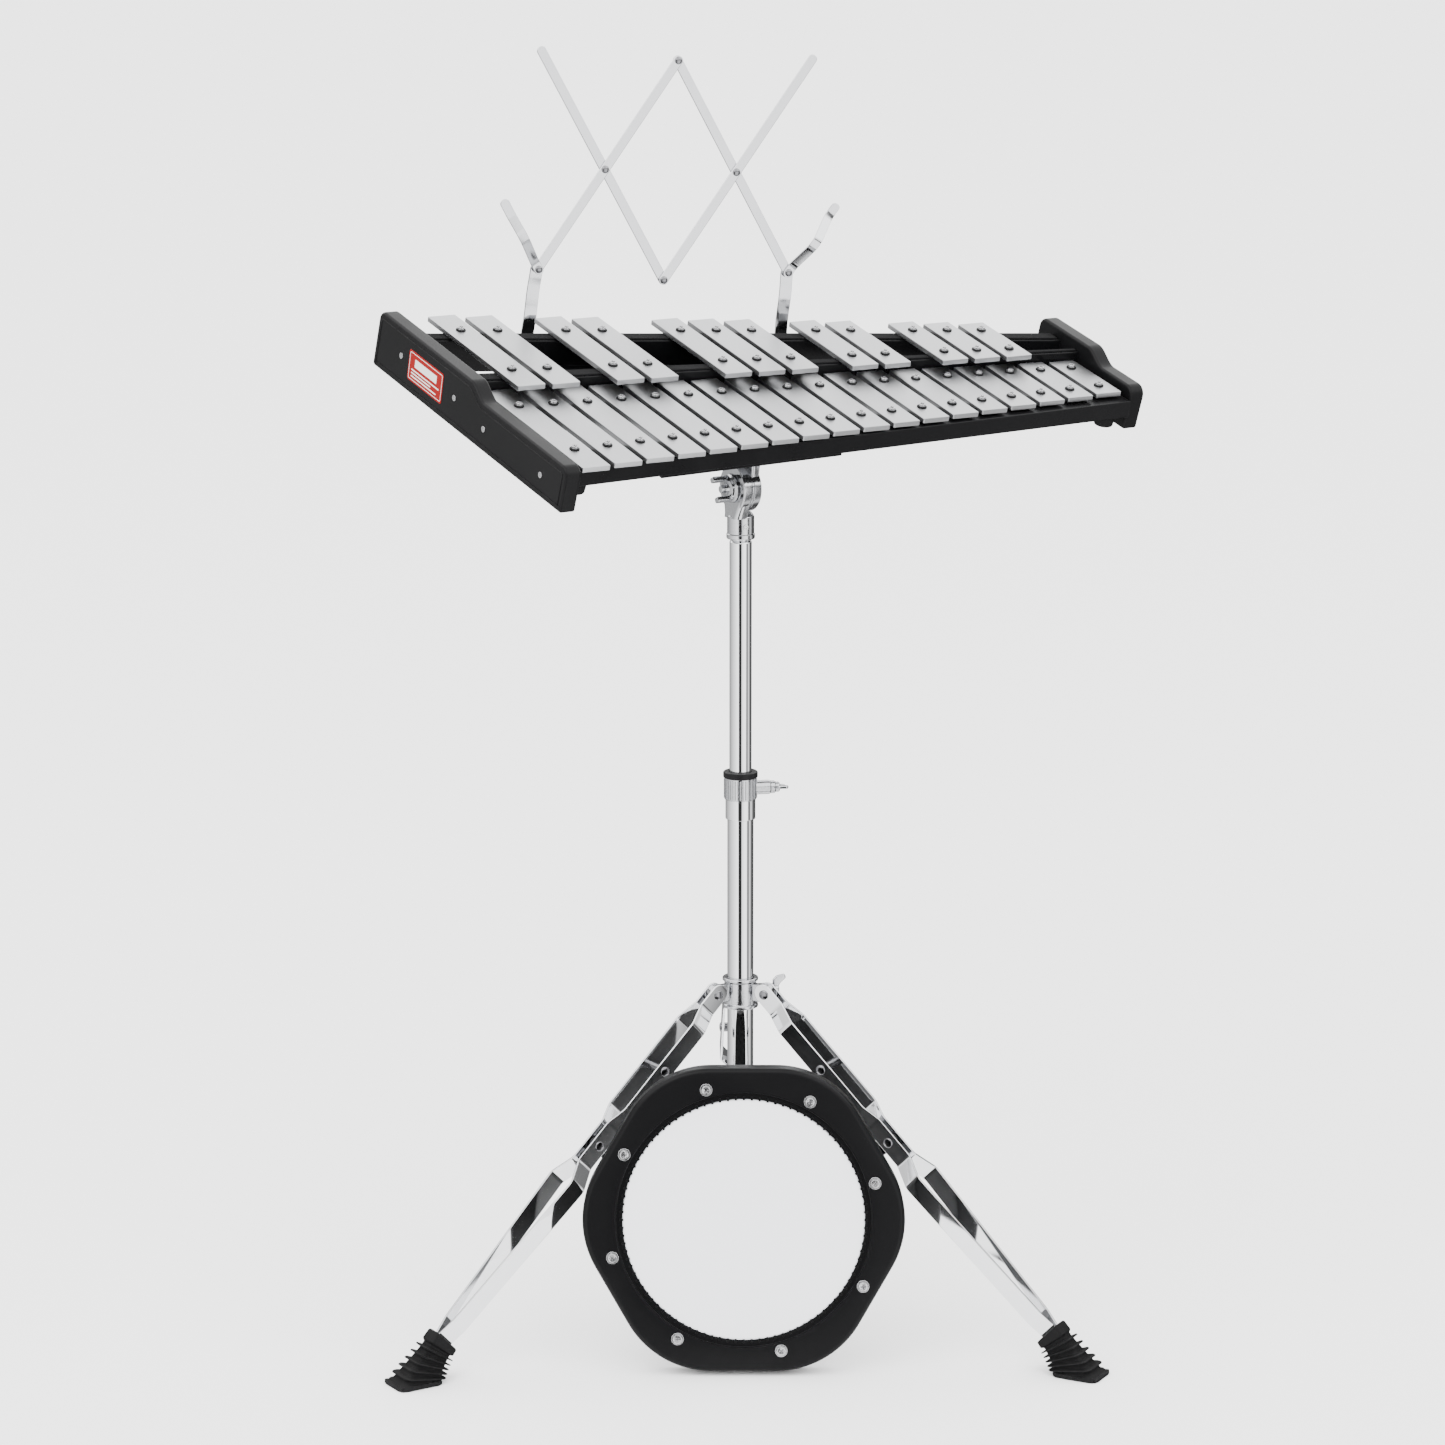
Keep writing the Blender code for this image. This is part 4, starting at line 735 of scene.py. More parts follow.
@dataclass
class WingBolt:
    """Cast wing bolt: a stepped boss with two rounded prongs."""

    node: str
    radius: float
    height: float
    span: float
    wing_thick: float = 3.0 * MM
    shank: float = 2.9 * MM

    def build(self, body: str, seat: Matrix, depth: float) -> None:
        """Makes the bolt.

        Args:
            body: Its body.
            seat: Frame on the boss's underside, Z outwards, X along the wings.
            depth: Length of the shank below the boss.
        """
        half = self.span / 2
        right = [(half * 0.72, self.height * 0.35), (half, self.height * 0.75),
                 (half * 1.12, self.height * 1.62), (half * 0.82, self.height * 1.8),
                 (half * 0.5, self.height * 1.25), (self.radius * 0.5, self.height * 0.95)]
        outline = rounded(right + [(-x, y) for x, y in reversed(right)],
                          [1.2 * MM, 2.0 * MM, 1.6 * MM, 1.6 * MM, 2.5 * MM, 1.5 * MM] * 2, 4)
        stand_up = Matrix(((1, 0, 0, 0), (0, 0, 1, 0), (0, 1, 0, 0), (0, 0, 0, 1)))
        half_wing = self.wing_thick / 2
        wings = moved(plate(outline, [], -half_wing, half_wing, self.wing_thick * 0.4, 3), stand_up)
        bmesh.ops.recalc_face_normals(wings, faces=wings.faces)
        collar = self.radius * 0.8
        boss = turned(rounded([(0.0, 0.0), (self.radius, 0.0), (self.radius, self.height * 0.42),
                               (collar, self.height * 0.55), (collar, self.height), (0.0, self.height)],
                              [0.0, 0.5 * MM, 0.6 * MM, 0.6 * MM, 1.4 * MM, 0.0], 3), 32)
        threads: Outline = [(0.0, 0.4 * MM), (self.shank, 0.4 * MM)]
        count = max(2, int(depth / (1.0 * MM)))
        for k in range(count):
            low = -depth * (k + 0.5) / count
            threads += [(self.shank, low + 0.2 * MM), (self.shank - 0.35 * MM, low - 0.15 * MM)]
        threads += [(self.shank - 0.4 * MM, -depth), (0.0, -depth)]
        thread = turned(threads, 16)
        put(self.node, gathered([boss, wings, thread]), Finishes.CAST, body, seat, (self.node,))


# ---- keyboard -----------------------------------------------------------------------------------
@dataclass
class Keyboard:
    """Bars, their screws and grommets, the rails, the mount board and the two end panels."""

    naturals: int = 18
    accidentals: int = 12
    bar_edge: float = 0.7 * MM
    bar_corner: float = 1.0 * MM
    hole: float = 3.0 * MM
    node_share: float = 0.28
    grommet: float = 4.3 * MM
    grommet_height: float = 1.0 * MM
    screw: float = 3.0 * MM
    screw_height: float = 2.2 * MM
    rail_half: float = 8.0 * MM
    rail_base: float = -21.5 * MM
    rail_edge: float = 1.0 * MM
    felt: float = 1.6 * MM
    felt_margin: float = 2.0 * MM
    front_reach: float = 25.0 * MM
    near_rail_clear: float = 2.5 * MM
    rear_thick: float = 14.0 * MM
    rear_inset: float = 4.0 * MM
    rear_top: float = -8.0 * MM
    board_thick: float = 9.0 * MM
    board_proud: float = 3.0 * MM
    board_inset: float = 2.0 * MM
    board_width: float = 178.0 * MM
    board_middle: float = -104.0 * MM
    gap: float = 0.3 * MM
    panel_edge: float = 2.2 * MM
    panel_round: float = 9.0 * MM
    panel_slant: float = 4.0 * MM
    panel_steps: tuple[float, float] = (59.0 * MM, 16.0 * MM)
    bass_screws: tuple[Point, ...] = ((188, -8.5), (94, -9), (42, -15.5), (-54, -16))      # mm
    treble_screws: tuple[Point, ...] = ((85, -9), (30, -12), (-5, -16), (-28, -16))        # mm
    step_run: float = 26.0 * MM
    step_drop: float = 11.0 * MM
    proud: float = 0.6 * MM
    bead: float = 0.9 * MM
    bead_inset: float = 5.5 * MM
    label_at: Point = (-144.5 * MM, -9.8 * MM)
    label_size: Point = (60.0 * MM, 26.5 * MM)
    label_margin: float = 1.6 * MM
    label_bars: tuple[tuple[float, ...], ...] = (                                          # mm
        (-19, 19, 0.5, 7.5), (-24, 24, -3.4, -2.2), (-24, 10, -6.2, -5.0), (-24, 20, -9.0, -7.8))
    bumper_height: float = 10.0 * MM
    bumper_inset: float = 16.0 * MM
    table: Matrix = field(default_factory=PLACES.table)
    bars: dict[str, tuple[Vector, Vector]] = field(default_factory=dict)

    def measure(self) -> None:
        """Measures every bar in the keyboard's own frame."""
        for kind, count in (("natural", self.naturals), ("accidental", self.accidentals)):
            for k in range(1, count + 1):
                name = f"bar_{kind}_{k:02d}"
                self.bars[name] = PLACES.measured(name, self.table)

    def zero(self) -> Vector:
        """Centre of the row of naturals, on top of the bars: the keyboard's layout origin."""
        first, last = self.bars["bar_natural_01"], self.bars[f"bar_natural_{self.naturals:02d}"]
        return Vector(((first[0].x + last[1].x) / 2, (first[0].y + first[1].y) / 2, first[1].z))

    def row(self, kind: str) -> list[tuple[float, float, float]]:
        """Middle x, middle y and length of each bar of one kind, in the layout frame."""
        zero = self.zero()
        out = []
        for name, (low, high) in self.bars.items():
            if kind in name:
                out.append(((low.x + high.x) / 2 - zero.x, (low.y + high.y) / 2 - zero.y, high.y - low.y))
        return out

    def build(self) -> None:
        """Makes every piece of the keyboard."""
        self.measure()
        self.layout = self.table @ Matrix.Translation(self.zero())
        self.build_bars()
        self.build_frame()
        self.build_panel("end_panel_bass", -1)
        self.build_panel("end_panel_treble", 1)
        self.build_underside()

    def build_bars(self) -> None:
        """Makes the bars with softened edges, and their screws on rubber grommets."""
        seats: list[Matrix] = []
        for name, (low, high) in self.bars.items():
            size = high - low
            middle = (low + high) / 2
            reach = self.node_share * size.y
            outline = rounded(rectangle(-size.x / 2, size.x / 2, -size.y / 2, size.y / 2),
                              [self.bar_corner] * 4, 3)
            holes = [circle(self.hole, 16, (0.0, side * reach)) for side in (-1, 1)]
            place = self.table @ Matrix.Translation((middle.x, middle.y, high.z))
            put(name, plate(outline, holes, -size.z, 0.0, self.bar_edge, 2), Finishes.BAR, "table", place,
                (name,))
            seats += [self.layout.inverted() @ place @ Matrix.Translation((0.0, side * reach, 0.0))
                      for side in (-1, 1)]
        flange = self.grommet
        waist = self.hole - 0.15 * MM
        bore = 1.6 * MM
        ring = rounded([(bore, -1.5 * MM), (waist, -1.5 * MM), (waist, 0.05 * MM), (flange, 0.05 * MM),
                        (flange, self.grommet_height), (bore, self.grommet_height)],
                       [0.0, 0.2 * MM, 0.0, 0.25 * MM, 0.4 * MM, 0.2 * MM], 3)
        put("bar_grommets", copies(turned(ring, 24), seats), Finishes.GROMMET, "table", self.layout)
        head = moved(cross_head(self.screw, self.screw_height, 1.0 * MM),
                     Matrix.Translation((0, 0, self.grommet_height)))
        shank = turned([(0.0, -4.0 * MM), (1.5 * MM, -4.0 * MM), (1.5 * MM, self.grommet_height + 0.2 * MM),
                        (0.0, self.grommet_height + 0.2 * MM)], 12)
        put("bar_screws", copies(gathered([head, shank]), seats), Finishes.BAR_SCREW, "table", self.layout)

    def lines(self) -> dict[str, tuple[Point, Point]]:
        """Straight lines y = a + b x of the screw rows and bar ends, each as (a, b)."""
        def through(first: Point, last: Point) -> Point:
            slope = (last[1] - first[1]) / (last[0] - first[0])
            return first[1] - slope * first[0], slope

        out = {}
        for kind in ("natural", "accidental"):
            row = self.row(kind)
            (xa, ya, la), (xb, yb, lb) = row[0], row[-1]
            for label, share in (("near", -self.node_share), ("far", self.node_share), ("end", 0.5)):
                out[f"{kind}_{label}"] = through((xa, ya + share * la), (xb, yb + share * lb))
        return out

    def build_frame(self) -> None:
        """Makes the five rails with their felt, and the mount board."""
        lines = self.lines()
        low, high = PLACES.measured("key_frame", self.layout)
        x0, x1 = low.x, high.x
        thick = self.bars["bar_natural_01"][1].z - self.bars["bar_natural_01"][0].z
        lift = self.bars["bar_accidental_01"][1].z - self.bars["bar_natural_01"][1].z
        natural_top = -thick - self.gap
        accidental_top = natural_top + lift
        bass_rear = PLACES.measured("end_panel_bass", self.layout)[1].y - self.rear_inset
        treble_rear = PLACES.measured("end_panel_treble", self.layout)[1].y - self.rear_inset
        slope = (treble_rear - bass_rear) / (x1 - x0 + 2 * self.gap)
        rear = (bass_rear - slope * (x0 - self.gap), slope)

        def at(line: Point, x: float, shift: float) -> Point:
            return (x, line[0] + line[1] * x + shift)

        rails = {
            "rail_front": (lines["natural_near"], -self.front_reach, lines["natural_near"], self.rail_half,
                           natural_top),
            "rail_natural_far": (lines["natural_far"], -self.rail_half, lines["natural_far"], self.rail_half,
                                 natural_top),
            "rail_accidental_near": (lines["natural_end"], self.near_rail_clear, lines["accidental_near"],
                                     self.rail_half, accidental_top),
            "rail_accidental_far": (lines["accidental_far"], -self.rail_half, lines["accidental_far"],
                                    self.rail_half, accidental_top),
        }
        shapes, felts = [], []
        for near, near_shift, far, far_shift, top in rails.values():
            outline = [at(near, x0, near_shift), at(near, x1, near_shift), at(far, x1, far_shift),
                       at(far, x0, far_shift)]
            shapes.append(plate(outline, [], self.rail_base, top - self.felt, self.rail_edge, 3))
            near_felt = max(near_shift, -self.rail_half) if near is not lines["natural_end"] else near_shift
            strip = [at(near, x0, near_felt), at(near, x1, near_felt), at(far, x1, far_shift),
                     at(far, x0, far_shift)]
            felts.append(plate(inset(strip, self.felt_margin), [], top - self.felt, top, 0.5 * MM, 2))
        outline = [at(rear, x0, -self.rear_thick), at(rear, x1, -self.rear_thick), at(rear, x1, 0.0),
                   at(rear, x0, 0.0)]
        shapes.append(plate(outline, [], self.rail_base, self.rear_top, self.rail_edge, 3))
        front = (lines["natural_near"][0] - self.front_reach, lines["natural_near"][1])
        left, right = self.board_middle - self.board_width / 2, self.board_middle + self.board_width / 2
        board = [at(front, left, self.board_inset), at(front, right, self.board_inset),
                 at(rear, right, -self.board_inset), at(rear, left, -self.board_inset)]
        low_board = self.rail_base - self.board_proud
        shapes.append(plate(board, [], low_board, low_board + self.board_thick, self.rail_edge, 3))
        put("key_frame", gathered(shapes), Finishes.LACQUER, "table", self.layout, ("key_frame",))
        put("rail_felts", gathered(felts), Finishes.FELT, "table", self.layout)

    def panel_outline(self, front: float, step: float, rear: float, base: float, top: float) -> Outline:
        """Outline of an end panel in (y, z): a low front, an S-curve and a higher rear.

        Args:
            front: Front end.
            step: Middle of the S-curve.
            rear: Rear end.
            base: Underside.
            top: Rear top edge.

        Returns:
            The outline, anticlockwise.
        """
        half, low_top, steps = self.step_run / 2, top - self.step_drop, 12
        curve = [(step + half - self.step_run * s / steps,
                  top - self.step_drop * (1 - cos(pi * s / steps)) / 2) for s in range(steps + 1)]
        corners = [(front + self.panel_slant, base), (rear, base), (rear - self.panel_slant, top)] + curve
        corners += [(front, low_top)]
        radii = [2 * MM, 3 * MM, self.panel_round] + [0.0] * len(curve) + [self.panel_round]
        return rounded(corners, radii, 8)

    def build_panel(self, name: str, side: int) -> None:
        """Makes one end panel with its bead, screws and, at the bass end, its label.

        Args:
            name: The panel's node.
            side: -1 for the bass end, 1 for the treble end.
        """
        low, high = PLACES.measured(name, self.layout)
        step = self.panel_steps[0 if side < 0 else 1]
        outline = self.panel_outline(low.y, step, high.y, low.z, high.z)
        outside = low.x if side < 0 else high.x
        inside = high.x if side < 0 else low.x
        thick = abs(outside - inside) - self.proud
        face = Matrix(((0, 0, side, inside), (side, 0, 0, 0), (0, 1, 0, 0), (0, 0, 0, 1)))
        place = self.layout @ face
        local = outline if side > 0 else [(-y, z) for y, z in reversed(outline)]
        put(name, plate(local, [], 0.0, thick, self.panel_edge, 4), Finishes.VINYL, "table", place, (name,))
        trace = inset(local, self.bead_inset)
        bead = plate(trace, [inset(trace, self.bead)], thick - 0.3 * MM, thick + self.proud * 0.7,
                     0.35 * MM, 2)
        put(f"{name}_bead", bead, Finishes.VINYL, "table", place)
        spots = self.bass_screws if side < 0 else self.treble_screws
        seats = [Matrix.Translation((side * y * MM, z * MM, thick)) for y, z in spots]
        put(f"{name}_screws", copies(cross_head(2.6 * MM, self.proud, 0.8 * MM), seats),
            Finishes.SILVER_SCREW, "table", place)
        if side < 0:
            self.build_label(place, thick)

    def build_label(self, face: Matrix, height: float) -> None:
        """Makes the plain red label with light bars in place of lettering.

        Args:
            face: Frame of the panel's outer face.
            height: Height of that face in the frame.
        """
        centre = face @ Matrix.Translation((*self.label_at, height))
        wide, tall = self.label_size
        sheet = plate(rounded(rectangle(-wide / 2, wide / 2, -tall / 2, tall / 2), [2.5 * MM] * 4, 5), [],
                      0.0, 0.25 * MM, 0.1 * MM, 1)
        put("maker_label", sheet, Finishes.LABEL, "table", centre)
        half_x, half_y = wide / 2 - self.label_margin, tall / 2 - self.label_margin
        border = rounded(rectangle(-half_x, half_x, -half_y, half_y), [1.8 * MM] * 4, 5)
        shapes = [plate(border, [inset(border, 0.5 * MM)], 0.2 * MM, 0.32 * MM, 0.04 * MM, 1)]
        for x0, x1, y0, y1 in self.label_bars:
            bar = rounded(rectangle(x0 * MM, x1 * MM, y0 * MM, y1 * MM), [0.5 * MM] * 4, 3)
            shapes.append(plate(bar, [], 0.2 * MM, 0.32 * MM, 0.04 * MM, 1))
        put("maker_label_bars", gathered(shapes), Finishes.LABEL_PRINT, "table", centre)

    def build_underside(self) -> None:
        """Makes the rubber bumpers under the front rail's two ends."""
        lines = self.lines()
        low, high = PLACES.measured("key_frame", self.layout)
        base = self.rail_base - self.bumper_height
        left, right = low.x + self.bumper_inset, high.x - self.bumper_inset
        seats = []
        for x in (left, right):
            y = lines["natural_near"][0] + lines["natural_near"][1] * x - self.front_reach + 13 * MM
            seats.append(Matrix.Translation((x, y, base)))
        rear_left = PLACES.measured("end_panel_bass", self.layout)[1].y - 24 * MM
        seats.append(Matrix.Translation((left, rear_left, base)))
        bumper = turned(rounded([(0.0, 0.0), (8 * MM, 0.0), (9.5 * MM, self.bumper_height),
                                 (0.0, self.bumper_height)],
                                [0.0, 1.5 * MM, 0.3 * MM, 0.0], 4), 32)
        put("frame_bumpers", copies(bumper, seats), Finishes.RUBBER, "table", self.layout)


# ---- tilter and post ----------------------------------------------------------------------------
@dataclass
class Tilter:
    """Two toothed discs on a wing bolt, the socket below them and the bracket above."""

    rim: float = 1.2 * MM
    hub_recess: float = 1.0 * MM
    fork: float = 12.0 * MM
    prong: float = 17.0 * MM
    set_screw: float = 2.4 * MM
    fork_turn: float = 25.0                     # degrees
    socket_bore: float = 8.6 * MM
    socket: float = 11.4 * MM
    disc_gap: float = 0.15 * MM
    disc_thick: float = 8.5 * MM
    flange_half: float = 22.0 * MM
    flange_screws: tuple[float, float] = (25.0 * MM, 15.0 * MM)

    def disc(self, radius: float, start: float, end: float) -> bmesh.types.BMesh:
        """Disc about the X axis with a stepped outer face.

        Args:
            radius: Its radius.
            start: X of the toothed face, at the other disc.
            end: X of the outer face.

        Returns:
            The disc's mesh.
        """
        thick = abs(end - start)
        profile = rounded([(3.9 * MM, 0.0), (radius - 1.0 * MM, 0.0), (radius - 1.0 * MM, 1.2 * MM),
                           (radius, 1.6 * MM), (radius, thick), (radius * 0.62, thick),
                           (radius * 0.58, thick - self.hub_recess), (3.9 * MM, thick - self.hub_recess)],
                          [0.0, 0.3 * MM, 0.2 * MM, 0.3 * MM, self.rim, 0.4 * MM, 0.4 * MM, 0.2 * MM], 3)
        turn = Matrix.Rotation(pi / 2 if end > start else -pi / 2, 4, "Y")
        return moved(turned(profile, 72), Matrix.Translation((start, 0.0, 0.0)) @ turn)

    def build(self) -> None:
        """Makes the socket side, the bracket side and the wing bolt."""
        pivot = PLACES.pivot("table_tilt")
        across = PLACES.axis("table_tilt")
        upright = axes(pivot, across, Vector((0.0, 0.0, 1.0)))
        low, high = PLACES.measured("tilter_socket", upright)
        tip, top = PLACES.measured("tilter_bracket", PLACES.table())
        radius = high.z
        web_start, web_end = max(low.x, -self.disc_gap - self.disc_thick), -self.disc_gap
        self.build_socket(upright, radius, web_start, web_end, low.z)
        self.build_bracket(radius, tip, top)
        seat = upright @ Matrix.Translation((web_start - 0.3 * MM, 0.0, 0.0))
        seat = seat @ Matrix.Rotation(-pi / 2, 4, "Y")
        self.build_fork(seat @ Matrix.Rotation(radians(self.fork_turn), 4, "Z"))

    def build_fork(self, seat: Matrix) -> None:
        """Makes the tilter's bolt: a stepped boss with two blunt prongs beside the bolt's end.

        Args:
            seat: Frame on the boss's underside, Z outwards.
        """
        boss = turned(rounded([(0.0, -22 * MM), (3.4 * MM, -22 * MM), (3.4 * MM, 0.0), (self.fork, 0.0),
                               (self.fork, 1.6 * MM), (self.fork * 0.8, 2.6 * MM),
                               (self.fork * 0.72, 4.4 * MM), (self.fork * 0.45, 5.2 * MM),
                               (3.4 * MM, 6.5 * MM), (3.4 * MM, 11 * MM),
                               (0.0, 11 * MM)],
                              [0.0, 0.5 * MM, 0.0, 0.5 * MM, 0.6 * MM, 0.6 * MM, 0.8 * MM, 0.5 * MM, 0.5 * MM,
                               0.9 * MM, 0.0], 3), 48)
        prong = plate(rounded(rectangle(-2.3 * MM, 2.3 * MM, -3.2 * MM, 3.2 * MM), [1.2 * MM] * 4, 4), [],
                      2.0 * MM, self.prong, 1.1 * MM, 3)
        prongs = copies(prong, [Matrix.Translation((side * self.fork * 0.72, 0.0, 0.0)) for side in (-1, 1)])
        put("tilter_wing_bolt", gathered([boss, prongs]), Finishes.CAST, "tilter_bolt", seat,
            ("tilter_wing_bolt",))

    def build_socket(self, upright: Matrix, radius: float, start: float, end: float, base: float) -> None:
        """Makes the fixed disc with its neck and the socket round the tube.

        Args:
            upright: Frame on the pivot with X along its axis and Z up.
            radius: Disc radius.
            start: X of the disc's outer face.
            end: X of its toothed face.
            base: Z of the socket's lower end.
        """
        inner, outer = self.socket_bore, self.socket
        roof = -radius - 1.0 * MM
        cup = rounded([(inner, base), (outer, base), (outer + 0.6 * MM, base + 1.0 * MM),
                       (outer + 0.6 * MM, base + 4.0 * MM), (outer, base + 4.6 * MM),
                       (outer, roof - 3.0 * MM), (outer - 2.5 * MM, roof + 0.6 * MM),
                       (0.0, roof + 0.6 * MM), (0.0, base + 18.5 * MM),
                       (inner, base + 18.5 * MM)],
                      [0.3 * MM] * 5 + [2.2 * MM, 1.0 * MM, 0.0, 0.0, 0.3 * MM], 3)
        rings = []
        for share in (0.0, 0.2, 0.4, 0.6, 0.8, 1.0):
            z = roof - 4.0 * MM + share * (radius * 0.55 + 5.0 * MM)
            half_y = outer * 0.97 + (radius * 0.86 - outer * 0.97) * share ** 1.5
            left = -outer * 0.97 + (start + outer * 0.97) * share ** 0.8
            rings.append([Vector((x, y, z)) for x, y in
                          rounded(rectangle(left, end - 0.2 * MM, -half_y, half_y),
                                  [outer * 0.42, 0.6 * MM, 0.6 * MM, outer * 0.42], 6)])
        put("tilter_socket", gathered([turned(cup, 64), skinned(rings), self.disc(radius, end, start)]),
            Finishes.CAST, "socket", upright, ("tilter_socket",))
        turn = Matrix.Rotation(radians(-100), 4, "Z")
        screw = moved(cross_head(self.set_screw, 1.1 * MM, 0.8 * MM),
                      turn @ Matrix.Translation((outer - 0.2 * MM, 0.0, base + 11.0 * MM))
                      @ Matrix.Rotation(pi / 2, 4, "Y"))
        put("socket_set_screw", screw, Finishes.SILVER_SCREW, "socket", upright)

    def build_bracket(self, radius: float, low: Vector, high: Vector) -> None:
        """Makes the moving disc, its arm and the flange under the mount board.

        Args:
            radius: Disc radius.
            low: Lowest corner of the bracket in the keyboard's frame.
            high: Its highest corner.
        """
        start, end = self.disc_gap, self.disc_gap + self.disc_thick
        middle, half = (start + end) / 2, (end - start) / 2
        top = high.z
        rings = []
        for share in (0.0, 0.25, 0.5, 0.75, 0.92, 1.0):
            z = share * (top - 2.0 * MM)
            half_y = radius * (0.86 - 0.22 * sin(pi * min(1.0, share * 1.1))) + 5.0 * MM * share ** 6
            half_x = half * 0.92 + 7.0 * MM * share ** 8
            rings.append([Vector((middle + x, y, z)) for x, y in
                          rounded(rectangle(-half_x, half_x, -half_y, half_y), [2.2 * MM] * 4, 4)])
        under = top - 3.0 * MM
        screw_x, screw_y = self.flange_screws
        spots = [(x * screw_x, y * screw_y) for x in (-1, 1) for y in (-1, 1)]
        border = rounded(rectangle(low.x, high.x, -self.flange_half, self.flange_half), [6 * MM] * 4, 6)
        flange = plate(border, [circle(2.2 * MM, 16, spot) for spot in spots], under, top, 0.8 * MM, 3)
        table = PLACES.table()
        put("tilter_bracket", gathered([skinned(rings), flange, self.disc(radius, start, end)]),
            Finishes.CAST, "table", table, ("tilter_bracket",))
        seats = [Matrix.Translation((x, y, under)) @ Matrix.Rotation(pi, 4, "X") for x, y in spots]
        put("bracket_screws", copies(cross_head(3.6 * MM, 2.0 * MM, 1.0 * MM), seats), Finishes.SILVER_SCREW,
            "table", table)


